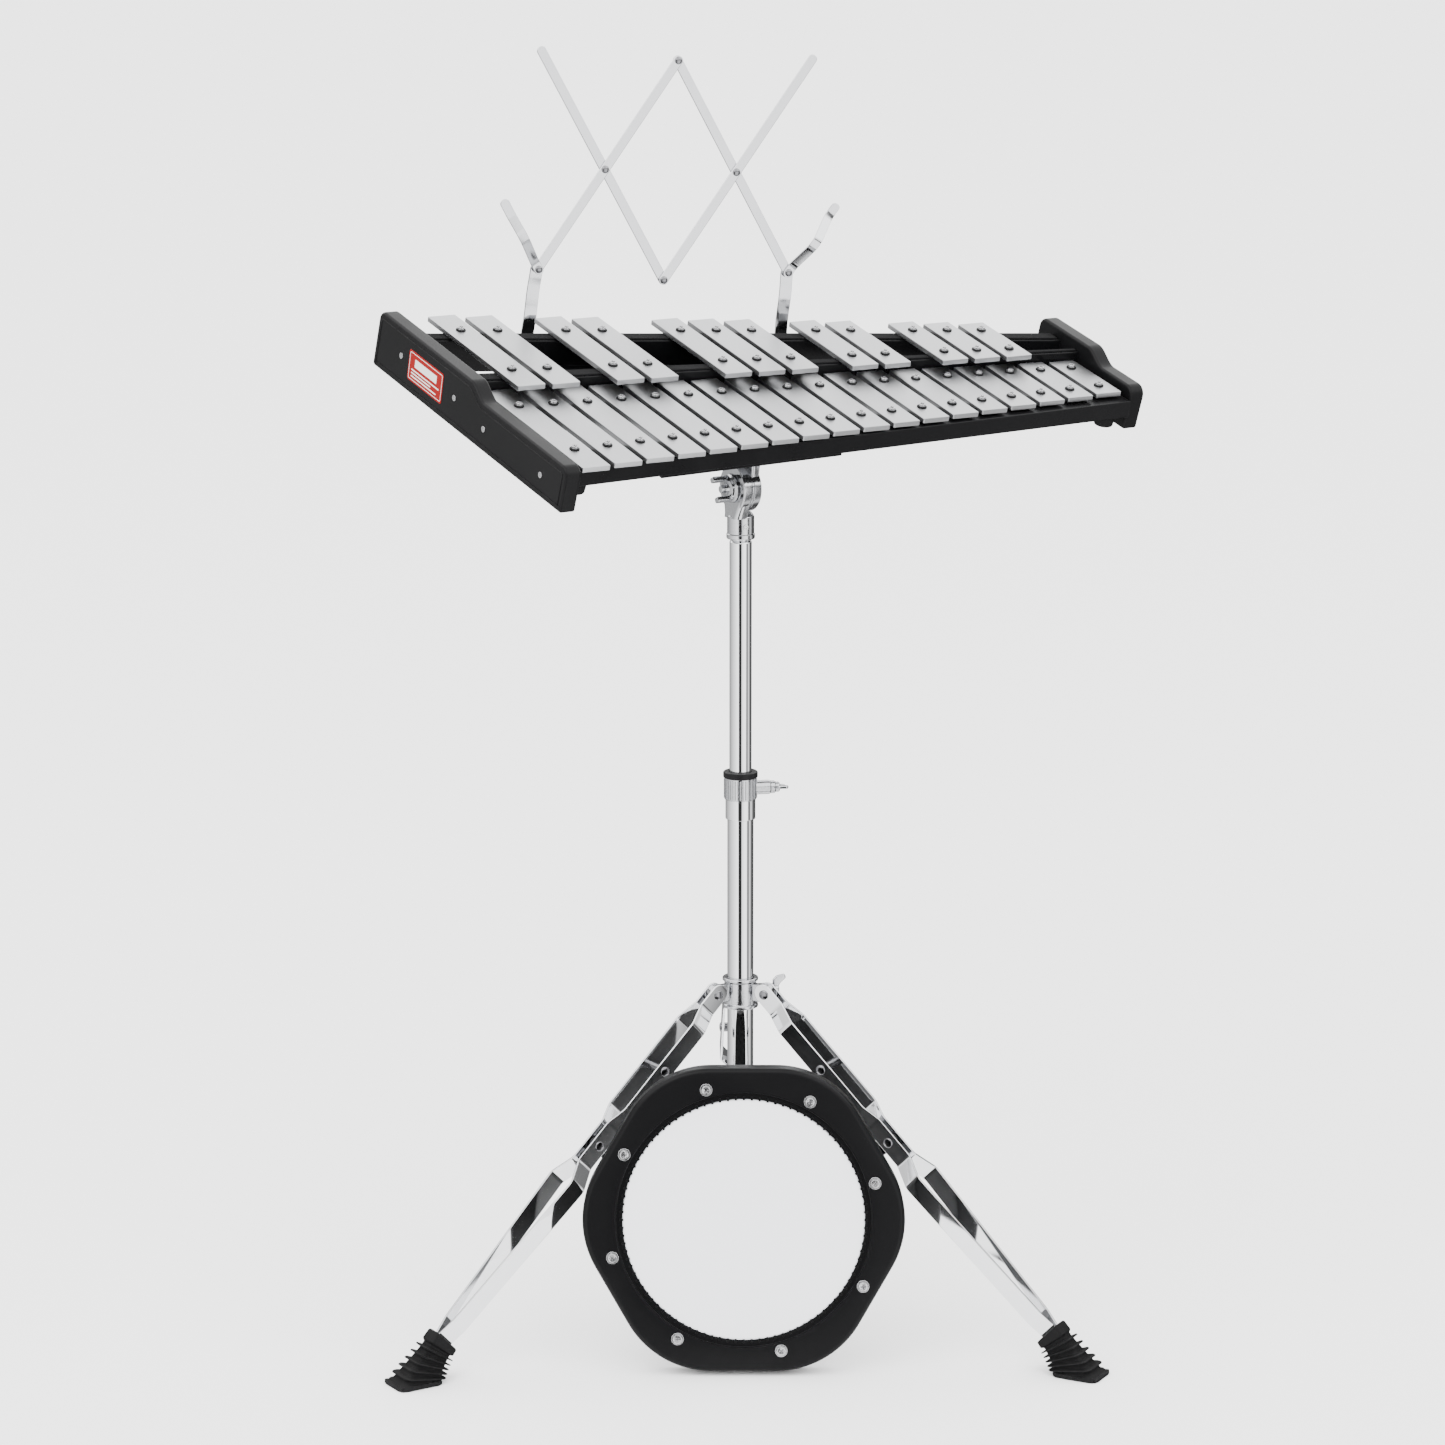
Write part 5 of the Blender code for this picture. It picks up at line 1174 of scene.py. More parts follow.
@dataclass
class Post:
    """Upper tube, lower tube with its height clamp and brace collar, and the clamp's wing bolt."""

    tube: float = 11.1 * MM
    wall: float = 1.2 * MM
    neck: float = 8.2 * MM
    neck_height: float = 19.0 * MM
    sleeve: float = 12.7 * MM
    knurl: float = 14.3 * MM
    sleeve_base: float = 441.0 * MM
    knurl_base: float = 458.0 * MM
    ring_base: float = 477.0 * MM
    ring_top: float = 482.0 * MM
    flutes: int = 36
    boss_root: float = 1.5 * MM
    bolt: WingBolt = field(default_factory=lambda: WingBolt("height_wing_bolt", 5.4 * MM, 8.0 * MM,
                                                            24.0 * MM))
    collar: float = 15.0 * MM
    collar_middle: float = 88.0 * MM
    collar_half: float = 8.0 * MM
    ear_half: float = 7.4 * MM
    ear_inside: float = 2.3 * MM
    ear_outside: float = 4.8 * MM

    def build(self) -> None:
        """Makes the post."""
        self.stand = PLACES.stand()
        low, high = PLACES.measured("upper_tube", self.stand)
        radius, inner = high.x, high.x - 2.5 * MM
        shoulder = high.z - self.neck_height
        tube = rounded([(inner, low.z), (radius, low.z), (radius, shoulder - 2.0 * MM), (self.neck, shoulder),
                        (self.neck, high.z), (inner, high.z)],
                       [0.2 * MM, 0.4 * MM, 1.5 * MM, 0.8 * MM, 0.4 * MM, 0.2 * MM], 4)
        put("upper_tube", turned(tube, 96), Finishes.CHROME, "upper_post", self.stand, ("upper_tube",))
        self.build_lower()
        self.build_clamp(radius)

    def build_lower(self) -> None:
        """Makes the lower tube, its smooth sleeve and the collar with the brace ears."""
        low = PLACES.measured("lower_tube", self.stand)[0]
        outer = self.tube
        inner = outer - self.wall
        tube = rounded([(inner, low.z), (outer, low.z), (outer, self.knurl_base), (inner, self.knurl_base)],
                       [0.2 * MM, 0.5 * MM, 0.2 * MM, 0.2 * MM], 3)
        sleeve_top = self.knurl_base + 0.5 * MM
        sleeve = rounded([(outer - 0.1 * MM, self.sleeve_base), (self.sleeve, self.sleeve_base),
                          (self.sleeve, sleeve_top), (outer - 0.1 * MM, sleeve_top)],
                         [0.1 * MM, 0.9 * MM, 0.1 * MM, 0.1 * MM], 4)
        put("lower_tube", gathered([turned(tube, 96), turned(sleeve, 96)]), Finishes.CHROME, "lower_post",
            self.stand, ("lower_tube",))
        base, top = self.collar_middle - self.collar_half, self.collar_middle + self.collar_half
        shapes = [turned(rounded([(outer, base), (self.collar, base), (self.collar, top), (outer, top)],
                                 [0.1 * MM, 1.0 * MM, 1.0 * MM, 0.1 * MM], 3), 64)]
        for name in Tripod.names:
            seat = PLACES.pivot(f"brace_{name}_fold")
            way = Vector((seat.x, seat.y, 0.0)) - self.stand.translation
            turn = Matrix.Rotation(atan2(way.y, way.x), 4, "Z")
            reach = way.length
            outline = rounded(rectangle(outer + 1 * MM, reach + 7.5 * MM, -self.ear_half, self.ear_half),
                              [0.0, 6.5 * MM, 6.5 * MM, 0.0], 6)
            lie = Matrix.Translation((0, 0, self.collar_middle)) @ Matrix.Rotation(pi / 2, 4, "X")
            for side in (-1, 1):
                ear_low, ear_high = sorted((side * self.ear_inside, side * self.ear_outside))
                shapes.append(moved(plate(outline, [], ear_low, ear_high, 0.5 * MM, 2), turn @ lie))
                spot = Matrix.Translation((reach, side * self.ear_outside, self.collar_middle))
                shapes.append(moved(dome(3.6 * MM, 1.2 * MM),
                                    turn @ spot @ Matrix.Rotation(-side * pi / 2, 4, "X")))
            shapes.append(moved(rod(2.8 * MM, Vector((reach, -4 * MM, self.collar_middle)),
                                    Vector((reach, 4 * MM, self.collar_middle))), turn))
        put("brace_collar", gathered(shapes), Finishes.CAST, "lower_post", self.stand)

    def build_clamp(self, upper: float) -> None:
        """Makes the fluted clamp body, its nylon ring and its bolt boss.

        Args:
            upper: Radius of the tube that slides inside.
        """
        bore = upper + 0.4 * MM
        body = rounded([(bore, self.knurl_base), (self.knurl - 0.8 * MM, self.knurl_base),
                        (self.knurl - 0.8 * MM, self.ring_base), (bore, self.ring_base)],
                       [0.2 * MM, 0.6 * MM, 0.6 * MM, 0.2 * MM], 3)
        rib = plate(rounded(rectangle(-0.5 * MM, 0.5 * MM, self.knurl_base + 1.2 * MM,
                                      self.ring_base - 1.2 * MM), [0.4 * MM] * 4, 2),
                    [], 0.0, 0.8 * MM, 0.3 * MM, 2)
        upright = Matrix(((0, 0, 1, self.knurl - 0.95 * MM), (1, 0, 0, 0), (0, 1, 0, 0), (0, 0, 0, 1)))
        shapes = [turned(body, 96), copies(rib, [Matrix.Rotation(2 * pi * k / self.flutes, 4, "Z") @ upright
                                                for k in range(self.flutes)])]
        seat = PLACES.pivot("height_bolt_turn")
        local = self.stand.inverted() @ seat
        turn = Matrix.Rotation(atan2(local.y, local.x), 4, "Z")
        reach = hypot(local.x, local.y)
        foot = self.knurl - self.boss_root
        shapes.append(moved(bolt_boss(reach - self.knurl + self.boss_root),
                            turn @ Matrix.Translation((foot, 0.0, local.z))
                            @ Matrix.Rotation(pi / 2, 4, "Y")))
        put("height_clamp", gathered(shapes), Finishes.CAST, "lower_post", self.stand)
        ring = rounded([(bore, self.ring_base), (self.knurl + 0.4 * MM, self.ring_base),
                        (self.knurl + 0.4 * MM, self.ring_top), (bore, self.ring_top)],
                       [0.1 * MM, 0.6 * MM, 1.2 * MM, 0.3 * MM], 4)
        put("clamp_ring", turned(ring, 96), Finishes.NYLON, "lower_post", self.stand)
        bolt_seat = (self.stand @ turn @ Matrix.Translation((reach + 0.3 * MM, 0.0, local.z))
                     @ Matrix.Rotation(pi / 2, 4, "Y") @ Matrix.Rotation(radians(80), 4, "Z"))
        self.bolt.build("height_bolt", bolt_seat, reach - upper)


# ---- tripod -------------------------------------------------------------------------------------
@dataclass
class Tripod:
    """Hub, three double-strip legs with ribbed rubber boots, and three braces."""

    names = ("left", "right", "rear")
    strip_width: float = 16.0 * MM
    strip_thick: float = 2.0 * MM
    strip_edge: float = 0.6 * MM
    bend: float = 9.0 * MM
    pinch: float = 4.3 * MM
    upper_bow: float = 12.0 * MM
    lower_bow: float = 17.0 * MM
    knee: float = 164.0 * MM
    tip_short: float = 10.0 * MM
    rivet: float = 4.2 * MM
    rivet_height: float = 1.8 * MM
    hub_bolt: WingBolt = field(default_factory=lambda: WingBolt("hub_wing_bolt", 5.2 * MM, 8.0 * MM,
                                                                24.0 * MM))
    lug: float = 7.5 * MM
    lug_half: float = 3.0 * MM
    boss_root: float = 1.0 * MM
    foot_length: float = 40.0 * MM
    fins: int = 5

    def build(self) -> None:
        """Makes the whole tripod."""
        self.stand = PLACES.stand()
        self.build_hub()
        for name in self.names:
            self.build_leg(name)
            self.build_foot(name)
            self.build_brace(name)

    def seat(self, name: str) -> tuple[Matrix, float]:
        """Frame of one leg, X down the leg and Y along its pivot, and the leg's length to its sole."""
        pivot = PLACES.pivot(f"leg_{name}_fold")
        sole = Vector(PLACES.mounts[f"sole_{name}"]["pos_m"])
        end = sole + Vector((0.0, 0.0, 6.0 * MM))
        return axes(pivot, end - pivot, Vector((0.0, 0.0, 1.0))), (end - pivot).length

    def strip_path(self, length: float) -> Outline:
        """Middle line of one strip of a leg: distance down the leg, distance to the side."""
        foot, tip = length - self.tip_short, 2.0 * MM
        corners = [(-9 * MM, self.pinch), (16 * MM, self.pinch), (34 * MM, self.upper_bow),
                   (self.knee - 36 * MM, self.upper_bow), (self.knee - 20 * MM, self.pinch),
                   (self.knee + 20 * MM, self.pinch), (self.knee + 40 * MM, self.lower_bow),
                   (foot - 46 * MM, self.pinch + 2 * MM), (foot - 30 * MM, tip), (foot, tip)]
        return eased(corners, self.bend)

    def build_leg(self, name: str) -> None:
        """Makes one leg: two bent strips, their rivets and the spacer between them.

        Args:
            name: Which leg.
        """
        seat, length = self.seat(name)
        path = self.strip_path(length)
        ends = (0.95, 0.3)
        shapes = [strap(path, self.strip_width, self.strip_thick, ends, self.strip_edge),
                  strap([(x, -y) for x, y in path], self.strip_width, self.strip_thick, ends,
                        self.strip_edge)]
        put(f"leg_{name}", gathered(shapes), Finishes.CHROME, f"leg_{name}", seat, (f"leg_{name}",))
        middle = (34 * MM + self.knee - 36 * MM) / 2
        rivets = []
        for x, spread in ((0.0, self.pinch), (middle, self.upper_bow), (self.knee, self.pinch)):
            outer = spread + self.strip_thick / 2
            if x != self.knee:
                rivets.append(rod(2.4 * MM, Vector((x, -outer, 0.0)), Vector((x, outer, 0.0)), 0.1 * MM))
            for side in (-1, 1):
                rivets.append(moved(dome(self.rivet, self.rivet_height),
                                    Matrix.Translation((x, side * outer, 0.0))
                                    @ Matrix.Rotation(-side * pi / 2, 4, "X")))
        spacer = turned([(2.5 * MM, -self.upper_bow + 1 * MM), (4.0 * MM, -self.upper_bow + 1 * MM),
                         (4.0 * MM, self.upper_bow - 1 * MM), (2.5 * MM, self.upper_bow - 1 * MM)], 32)
        rivets.append(moved(spacer, Matrix.Translation((middle, 0, 0)) @ Matrix.Rotation(pi / 2, 4, "X")))
        put(f"leg_{name}_rivets", gathered(rivets), Finishes.RIVET, f"leg_{name}", seat)

    def build_foot(self, name: str) -> None:
        """Makes one rubber boot with its square cuff, fins and serrated sole.

        Args:
            name: Which leg.
        """
        seat, length = self.seat(name)
        sole = Vector(PLACES.mounts[f"sole_{name}"]["pos_m"])
        down = seat.to_3x3() @ Vector((1.0, 0.0, 0.0))
        side = seat.to_3x3() @ Vector((0.0, 1.0, 0.0))
        out = Vector((down.x, down.y, 0.0)).normalized()
        slope = acos(max(-1.0, min(1.0, down.dot(out))))
        collar = seat @ Vector((length - self.foot_length, 0.0, 0.0))

        def ring(share: float, extra: float) -> list[Vector]:
            """Rounded section of the boot at a share of its length, larger by extra."""
            lean = (1 - share) * (pi / 2 - slope)
            centre = collar.lerp(sole, share)
            along = out * cos(lean) + Vector((0.0, 0.0, sin(lean)))
            half_long = 12.0 * MM + (19.5 * MM - 12.0 * MM) * share ** 2 + extra
            half_wide = 7.0 * MM + (16.0 * MM - 7.0 * MM) * share ** 2 + extra
            soft = min(half_long, half_wide) * 0.42
            outline = rounded(rectangle(-half_long, half_long, -half_wide, half_wide), [soft] * 4, 5)
            return [centre + along * x + side * y for x, y in outline]

        cuff = 1.5 * MM
        rings = [ring(0.0, cuff - 1.0 * MM), ring(0.02, cuff), ring(0.17, cuff), ring(0.19, cuff - 0.8 * MM),
                 ring(0.21, -0.6 * MM)]
        first, last = 0.29, 0.80
        pitch = (last - first) / (self.fins - 1)
        for k in range(self.fins):
            share = first + pitch * k
            rings += [ring(share - 0.2 * pitch, -0.8 * MM), ring(share - 0.1 * pitch, 2.6 * MM),
                      ring(share, 3.0 * MM), ring(share + 0.1 * pitch, 2.7 * MM),
                      ring(share + 0.2 * pitch, -0.8 * MM)]
        rings += [ring(0.90, -0.6 * MM), ring(0.915, 1.0 * MM), ring(0.99, 1.2 * MM), ring(1.0, 0.4 * MM)]
        boot = skinned(rings)
        teeth = []
        for k in range(7):
            x = (-17.4 + 5.8 * k) * MM
            tooth = rounded([(x - 1.9 * MM, 0.0), (x + 1.9 * MM, 0.0), (x + 1.6 * MM, 3.4 * MM),
                             (x - 1.6 * MM, 3.4 * MM)], [0.4 * MM] * 4, 2)
            half = 16.8 * MM - abs(x) * 0.12
            teeth.append(moved(plate(tooth, [], -half, half, 0.4 * MM, 2),
                               axes(sole + Vector((0, 0, 0.05 * MM)), out, Vector((0.0, 0.0, 1.0)))
                               @ Matrix.Rotation(pi / 2, 4, "X")))
        put(f"foot_{name}", gathered([boot] + teeth), Finishes.RUBBER, f"leg_{name}", None,
            (f"foot_{name}",))

    def build_hub(self) -> None:
        """Makes the sliding hub with its flanges, lugs, bolt boss and wing bolt."""
        low, high = PLACES.measured("leg_hub", self.stand)
        bore, radius, flange = 11.5 * MM, 13.6 * MM, 15.2 * MM
        base, top = low.z, high.z
        profile = rounded([(bore, base), (flange, base), (flange, base + 2.5 * MM), (radius, base + 3.3 * MM),
                           (radius, top - 3.3 * MM), (flange, top - 2.5 * MM), (flange, top), (bore, top)],
                          [0.3 * MM, 0.8 * MM, 0.6 * MM, 1.2 * MM, 1.2 * MM, 0.6 * MM, 0.8 * MM, 0.4 * MM], 4)
        shapes = [turned(profile, 96)]
        for name in self.names:
            pivot = self.stand.inverted() @ PLACES.pivot(f"leg_{name}_fold")
            turn = Matrix.Rotation(atan2(pivot.y, pivot.x), 4, "Z")
            reach = hypot(pivot.x, pivot.y)
            outline = rounded(rectangle(radius - 2 * MM, reach + self.lug, -self.lug, self.lug),
                              [0.0, self.lug * 0.9, self.lug * 0.9, 0.0], 8)
            lie = Matrix.Translation((0.0, 0.0, pivot.z)) @ Matrix.Rotation(pi / 2, 4, "X")
            hole = circle(3.0 * MM, 24, (reach, 0.0))
            lug = plate(outline, [hole], -self.lug_half, self.lug_half, 0.7 * MM, 3)
            shapes.append(moved(lug, turn @ lie))
        seat = self.stand.inverted() @ PLACES.pivot("hub_bolt_turn")
        turn = Matrix.Rotation(atan2(seat.y, seat.x), 4, "Z")
        reach = hypot(seat.x, seat.y)
        foot = radius - self.boss_root
        shapes.append(moved(bolt_boss(reach - radius + self.boss_root),
                            turn @ Matrix.Translation((foot, 0.0, seat.z)) @ Matrix.Rotation(pi / 2, 4, "Y")))
        put("leg_hub", gathered(shapes), Finishes.CAST, "hub", self.stand, ("leg_hub",))
        bolt_seat = (self.stand @ turn @ Matrix.Translation((reach + 0.3 * MM, 0.0, seat.z))
                     @ Matrix.Rotation(pi / 2, 4, "Y"))
        self.hub_bolt.build("hub_bolt", bolt_seat, reach - bore)

    def build_brace(self, name: str) -> None:
        """Makes one flat brace with rounded ends and a pressed rib.

        Args:
            name: Which leg it serves.
        """
        pivot = PLACES.pivot(f"brace_{name}_fold")
        seat, _ = self.seat(name)
        knee = seat @ Vector((self.knee, 0.0, 0.0))
        across = seat.to_3x3() @ Vector((0.0, 1.0, 0.0))
        place = axes(pivot, knee - pivot, across)
        run = (knee - pivot).length
        half = 6.5 * MM
        outline = rounded(rectangle(-half, run + half, -half, half), [half * 0.95] * 4, 8)
        body = plate(outline, [circle(3.2 * MM, 24)], -2.0 * MM, 2.0 * MM, 0.7 * MM, 3)
        ribs = []
        for side in (-1, 1):
            rib = rounded(rectangle(16 * MM, run - 16 * MM, -1.6 * MM, 1.6 * MM), [1.5 * MM] * 4, 5)
            low, high = sorted((side * 1.8 * MM, side * 2.1 * MM))
            ribs.append(plate(rib, [], low, high, 0.12 * MM, 2))
        put(f"brace_{name}", gathered([body] + ribs), Finishes.BRACE, f"brace_{name}", place,
            (f"brace_{name}",))


# ---- music rack ---------------------------------------------------------------------------------
@dataclass
class MusicRack:
    """Four crossed strips on two waved posts, with a curved page holder on each post."""

    link_width: float = 8.0 * MM
    link_thick: float = 1.6 * MM
    link_edge: float = 0.45 * MM
    layer: float = 1.9 * MM
    tip: float = 9.0 * MM
    post_width: float = 11.0 * MM
    rivet: float = 3.3 * MM
    rivet_height: float = 1.4 * MM
    rivet_gap: float = 0.06 * MM
    holder_reach: float = 72.0 * MM
    holder_splay: float = radians(33)
    post_lean: tuple[float, float] = (radians(5), radians(1.5))

    def build(self) -> None:
        """Makes the rack."""
        right, left = PLACES.pivot("rack_post_right_pivot"), PLACES.pivot("rack_fold")
        towards = PLACES.axis("rack_fold")
        self.front = towards if towards.y < 0 else -towards
        self.plane = axes(left, right - left, self.front.cross(right - left).normalized())
        local = {name: self.plane.inverted() @ PLACES.pivot(name)
                 for name in ("rack_fold", "rack_cross_left", "rack_top", "rack_cross_right",
                              "rack_post_right_pivot")}
        post_left, cross_left, top, cross_right, post_right = (Vector((p.x, p.z)) for p in local.values())
        cell = (top - cross_left).length
        bottom = cross_right + (cross_left - top)
        tip_left = cross_left + (cross_left - bottom)
        tip_right = cross_right + (cross_right - bottom)
        depth = {"rack_strip_1": 2, "rack_strip_2": 1, "rack_strip_3": 1, "rack_strip_4": 2}
        runs = {"rack_strip_1": (post_left, top, 0.0), "rack_strip_2": (bottom, tip_left, self.tip),
                "rack_strip_3": (post_right, top, 0.0), "rack_strip_4": (bottom, tip_right, self.tip)}
        for name, (start, end, past) in runs.items():
            self.build_strip(name, start, end, depth[name], past or self.link_width / 2)
        LOG.info("rack cell %.1f mm", cell / MM)
        self.build_rivets("rack_strip_1", [(post_left, 0, 2), (cross_left, 1, 2), (top, 1, 2)])
        self.build_rivets("rack_strip_4", [(cross_right, 1, 2), (bottom, 1, 2)])
        self.build_rivets("rack_strip_3", [(post_right, 0, 1)])
        self.build_post("left", post_left)
        self.build_post("right", post_right)
        self.build_holder("left", post_left, 3)
        self.build_holder("right", post_right, 2)

    def at(self, point: Vector, depth: float) -> Matrix:
        """Frame at a point of the rack's plane, a number of strips towards the player; Z faces out."""
        origin = self.plane @ Vector((point.x, 0.0, point.y)) + self.front * depth * self.layer
        return axes(origin, self.plane.to_3x3() @ Vector((1.0, 0.0, 0.0)), self.front)

    def build_strip(self, name: str, start: Vector, end: Vector, depth: int, past: float) -> None:
        """Makes one straight strip.

        Args:
            name: Its node.
            start: First pivot, in the rack's plane.
            end: Last pivot.
            depth: Its layer.
            past: Length beyond the last pivot.
        """
        run = end - start
        place = self.at(start, depth) @ Matrix.Rotation(atan2(run.y, run.x), 4, "Z")
        half = self.link_width / 2
        outline = rounded(rectangle(-half, run.length + past, -half, half), [half * 0.9] * 4, 8)
        shape = plate(outline, [], -self.link_thick / 2, self.link_thick / 2, self.link_edge, 3)
        put(name, shape, Finishes.RACK, name, place, (name,))

    def build_rivets(self, name: str, spots: list[tuple[Vector, int, int]]) -> None:
        """Makes the rivets that one strip carries.

        Args:
            name: The strip's node, whose body they move with.
            spots: Pivot, rearmost layer and foremost layer of each rivet.
        """
        shapes = []
        out = self.link_thick / 2 + self.rivet_gap
        for point, rear, fore in spots:
            back = self.at(point, rear) @ Matrix.Translation((0, 0, -out))
            front = self.at(point, fore) @ Matrix.Translation((0, 0, out))
            shapes.append(moved(dome(self.rivet, self.rivet_height), front))
            shapes.append(moved(dome(self.rivet, self.rivet_height), back @ Matrix.Rotation(pi, 4, "X")))
            shapes.append(rod(1.8 * MM, back.translation, front.translation, 0.05 * MM, 16))
        put(f"{name}_rivets", gathered(shapes), Finishes.RIVET, name)

    def build_post(self, side: str, pivot: Vector) -> None:
        """Makes one post: a strip that waves gently towards the player and back.

        Args:
            side: Left or right.
            pivot: Its pivot in the rack's plane.
        """
        name = f"rack_post_{side}"
        low = PLACES.measured(name, self.at(pivot, 0))[0].y
        steps = 14
        sign = 1 if side == "left" else -1
        path = []
        for s in range(steps + 1):
            share = s / steps
            y = low + (0.8 * self.post_width / 2 - low) * share
            fade = max(0.0, min(1.0, (1 - share) * 3.2)) * min(1.0, share * 4)
            path.append((y, 1.1 * MM * sin(2.3 * pi * share) * fade * sign))
        shape = strap(path, self.post_width, self.link_thick, (0.1, 0.9), self.link_edge)
        turn = Matrix(((0, 0, 1, 0), (1, 0, 0, 0), (0, 1, 0, 0), (0, 0, 0, 1)))
        lean = Matrix.Rotation(-self.post_lean[0 if side == "left" else 1], 4, "Z")
        put(name, shape, Finishes.RACK, name, self.at(pivot, 0) @ lean @ turn, (name,))

    def build_holder(self, side: str, pivot: Vector, depth: int) -> None:
        """Makes one page holder, riveted flat and waved towards the player.

        Args:
            side: Left or right.
            pivot: Its pivot in the rack's plane.
            depth: Its layer.
        """
        name = f"page_holder_{side}"
        sign = -1 if side == "left" else 1
        eye, reach = 7.0 * MM, self.holder_reach
        if side == "left":
            wave = [(-4.4, 0.0), (eye / MM, 0.0), (29, 11.0), (40, 13.0), (56, 12.0), (72, 14.5)]
        else:
            wave = [(-4.4, 0.0), (eye / MM, 0.0), (28, 12.5), (36, 13.5), (57, 3.0), (64, 1.8), (72, 3.0)]
        path = eased([(x * MM * reach / (72.0 * MM), y * MM) for x, y in wave], 16 * MM, 6)
        shape = strap(path, self.link_width, self.link_thick, (0.9, 0.9), self.link_edge)
        lean = pi / 2 - sign * self.holder_splay
        flat = Matrix.Rotation(lean, 4, "Z") @ Matrix.Rotation(pi / 2, 4, "X")
        place = self.at(pivot, depth) @ flat
        body = f"holder_{side}"
        put(name, shape, Finishes.RACK, body, place, (name,))
        head = moved(dome(self.rivet, self.rivet_height),
                     self.at(pivot, depth) @ Matrix.Translation((0, 0, self.link_thick / 2)))
        put(f"{name}_rivet", head, Finishes.RIVET, body)


# ---- practice pad -------------------------------------------------------------------------------
@dataclass
class PracticePad:
    """Rounded hexagonal shell with a stepped rim, a white head and eight screws."""

    corner_round: float = 80.0 * MM
    shell_edge: float = 4.5 * MM
    facets: int = 192
    rim: float = 106.5 * MM
    rim_land: float = 10.0 * MM
    head: float = 101.0 * MM
    recess: float = 4.0 * MM
    well: float = 6.3 * MM
    hollow: float = 60.0 * MM
    screw_circle: float = 113.5 * MM
    screws: int = 8
    first_screw: float = radians(106)
    screw: float = 3.7 * MM
    lip_teeth: int = 96

    def build(self) -> None:
        """Makes the pad."""
        back = PLACES.mounts["pad_back"]
        normal = -Vector(back["axis"])
        self.place = axes(Vector(back["pos_m"]), Vector((1.0, 0.0, 0.0)), normal)
        high = PLACES.measured("pad_shell", self.place)[1]
        self.thick = high.z
        apothem = high.y
        corner = apothem / cos(pi / 6)
        hexagon = [(corner * cos(k * pi / 3), corner * sin(k * pi / 3)) for k in range(6)]
        self.outline = self.evenly(rounded(hexagon, [self.corner_round] * 6, 24))
        self.build_shell()
        self.build_head()
        self.build_screws()

    def evenly(self, outline: Outline) -> Outline:
        """The same outline with its points at even angles round the centre."""
        out: Outline = []
        for k in range(self.facets):
            way = Vector((cos(2 * pi * k / self.facets), sin(2 * pi * k / self.facets)))
            for a, b in zip(outline, outline[1:] + outline[:1]):
                start, run = Vector(a), Vector(b) - Vector(a)
                across = way.x * run.y - way.y * run.x
                if abs(across) < 1e-12:
                    continue
                reach = (start.x * run.y - start.y * run.x) / across
                share = (start.x * way.y - start.y * way.x) / across
                if reach > 0 and -1e-9 <= share <= 1 + 1e-9:
                    out.append(tuple(way * reach))
                    break
        return out

    def build_shell(self) -> None:
        """Makes the shell from rings that pass from the hexagonal edge to the round rim."""
        around = [atan2(y, x) for x, y in self.outline]

        def hexagon(depth: float, z: float) -> list[Vector]:
            return [Vector((x, y, z)) for x, y in inset(self.outline, depth)]

        def ring(radius: float, z: float) -> list[Vector]:
            return [Vector((radius * cos(a), radius * sin(a), z)) for a in around]

        edge, top = self.shell_edge, self.thick - 0.8 * MM
        rings = [ring(self.hollow, 0.0), hexagon(8 * MM, 0.0), hexagon(2.0 * MM, 0.0),
                 hexagon(0.6 * MM, 0.5 * MM), hexagon(0.0, 2.0 * MM), hexagon(0.0, top - edge)]
        for s in range(1, 9):
            a = pi / 2 * s / 8
            rings.append(hexagon(edge * (1 - cos(a)), top - edge * (1 - sin(a))))
        rings += [ring(self.rim + self.rim_land, self.thick - 0.3 * MM),
                  ring(self.rim + 1.2 * MM, self.thick),
                  ring(self.rim + 0.3 * MM, self.thick - 0.35 * MM), ring(self.rim, self.thick - 1.2 * MM)]
        step = self.thick - self.recess
        rings += [ring(self.rim - 0.1 * MM, step + 0.4 * MM), ring(self.rim - 0.6 * MM, step),
                  ring(self.head + 0.5 * MM, step), ring(self.head + 0.3 * MM, step - 0.3 * MM),
                  ring(self.head + 0.3 * MM, step - self.well), ring(self.hollow, step - self.well)]
        put("pad_shell", skinned(rings), Finishes.PAD, "pad", self.place, ("pad_shell",))
        tooth = plate(rounded(rectangle(self.head - 0.9 * MM, self.head + 2.6 * MM, -0.9 * MM, 0.9 * MM),
                              [0.5 * MM] * 4, 3), [], step - 0.2 * MM, step + 0.9 * MM, 0.3 * MM, 2)
        teeth = copies(tooth, [Matrix.Rotation(2 * pi * k / self.lip_teeth, 4, "Z")
                               for k in range(self.lip_teeth)])
        put("pad_lip", teeth, Finishes.PAD, "pad", self.place)

    def build_head(self) -> None:
        """Makes the slightly crowned head with its rolled edge."""
        top = self.thick - self.recess
        base = top - 6.0 * MM
        crown = [(self.head * (1 - s / 10), top + 0.9 * MM * sin(pi / 2 * s / 10)) for s in range(2, 10)]
        profile = [(0.0, base), (self.head - 0.6 * MM, base), (self.head, base + 0.6 * MM),
                   (self.head, top - 1.6 * MM), (self.head - 0.3 * MM, top - 0.7 * MM),
                   (self.head - 1.1 * MM, top - 0.15 * MM), (self.head - 2.4 * MM, top)]
        profile += crown + [(0.0, top + 0.9 * MM)]
        put("pad_head", turned(profile, 128), Finishes.HEAD, "pad", self.place, ("pad_head",))

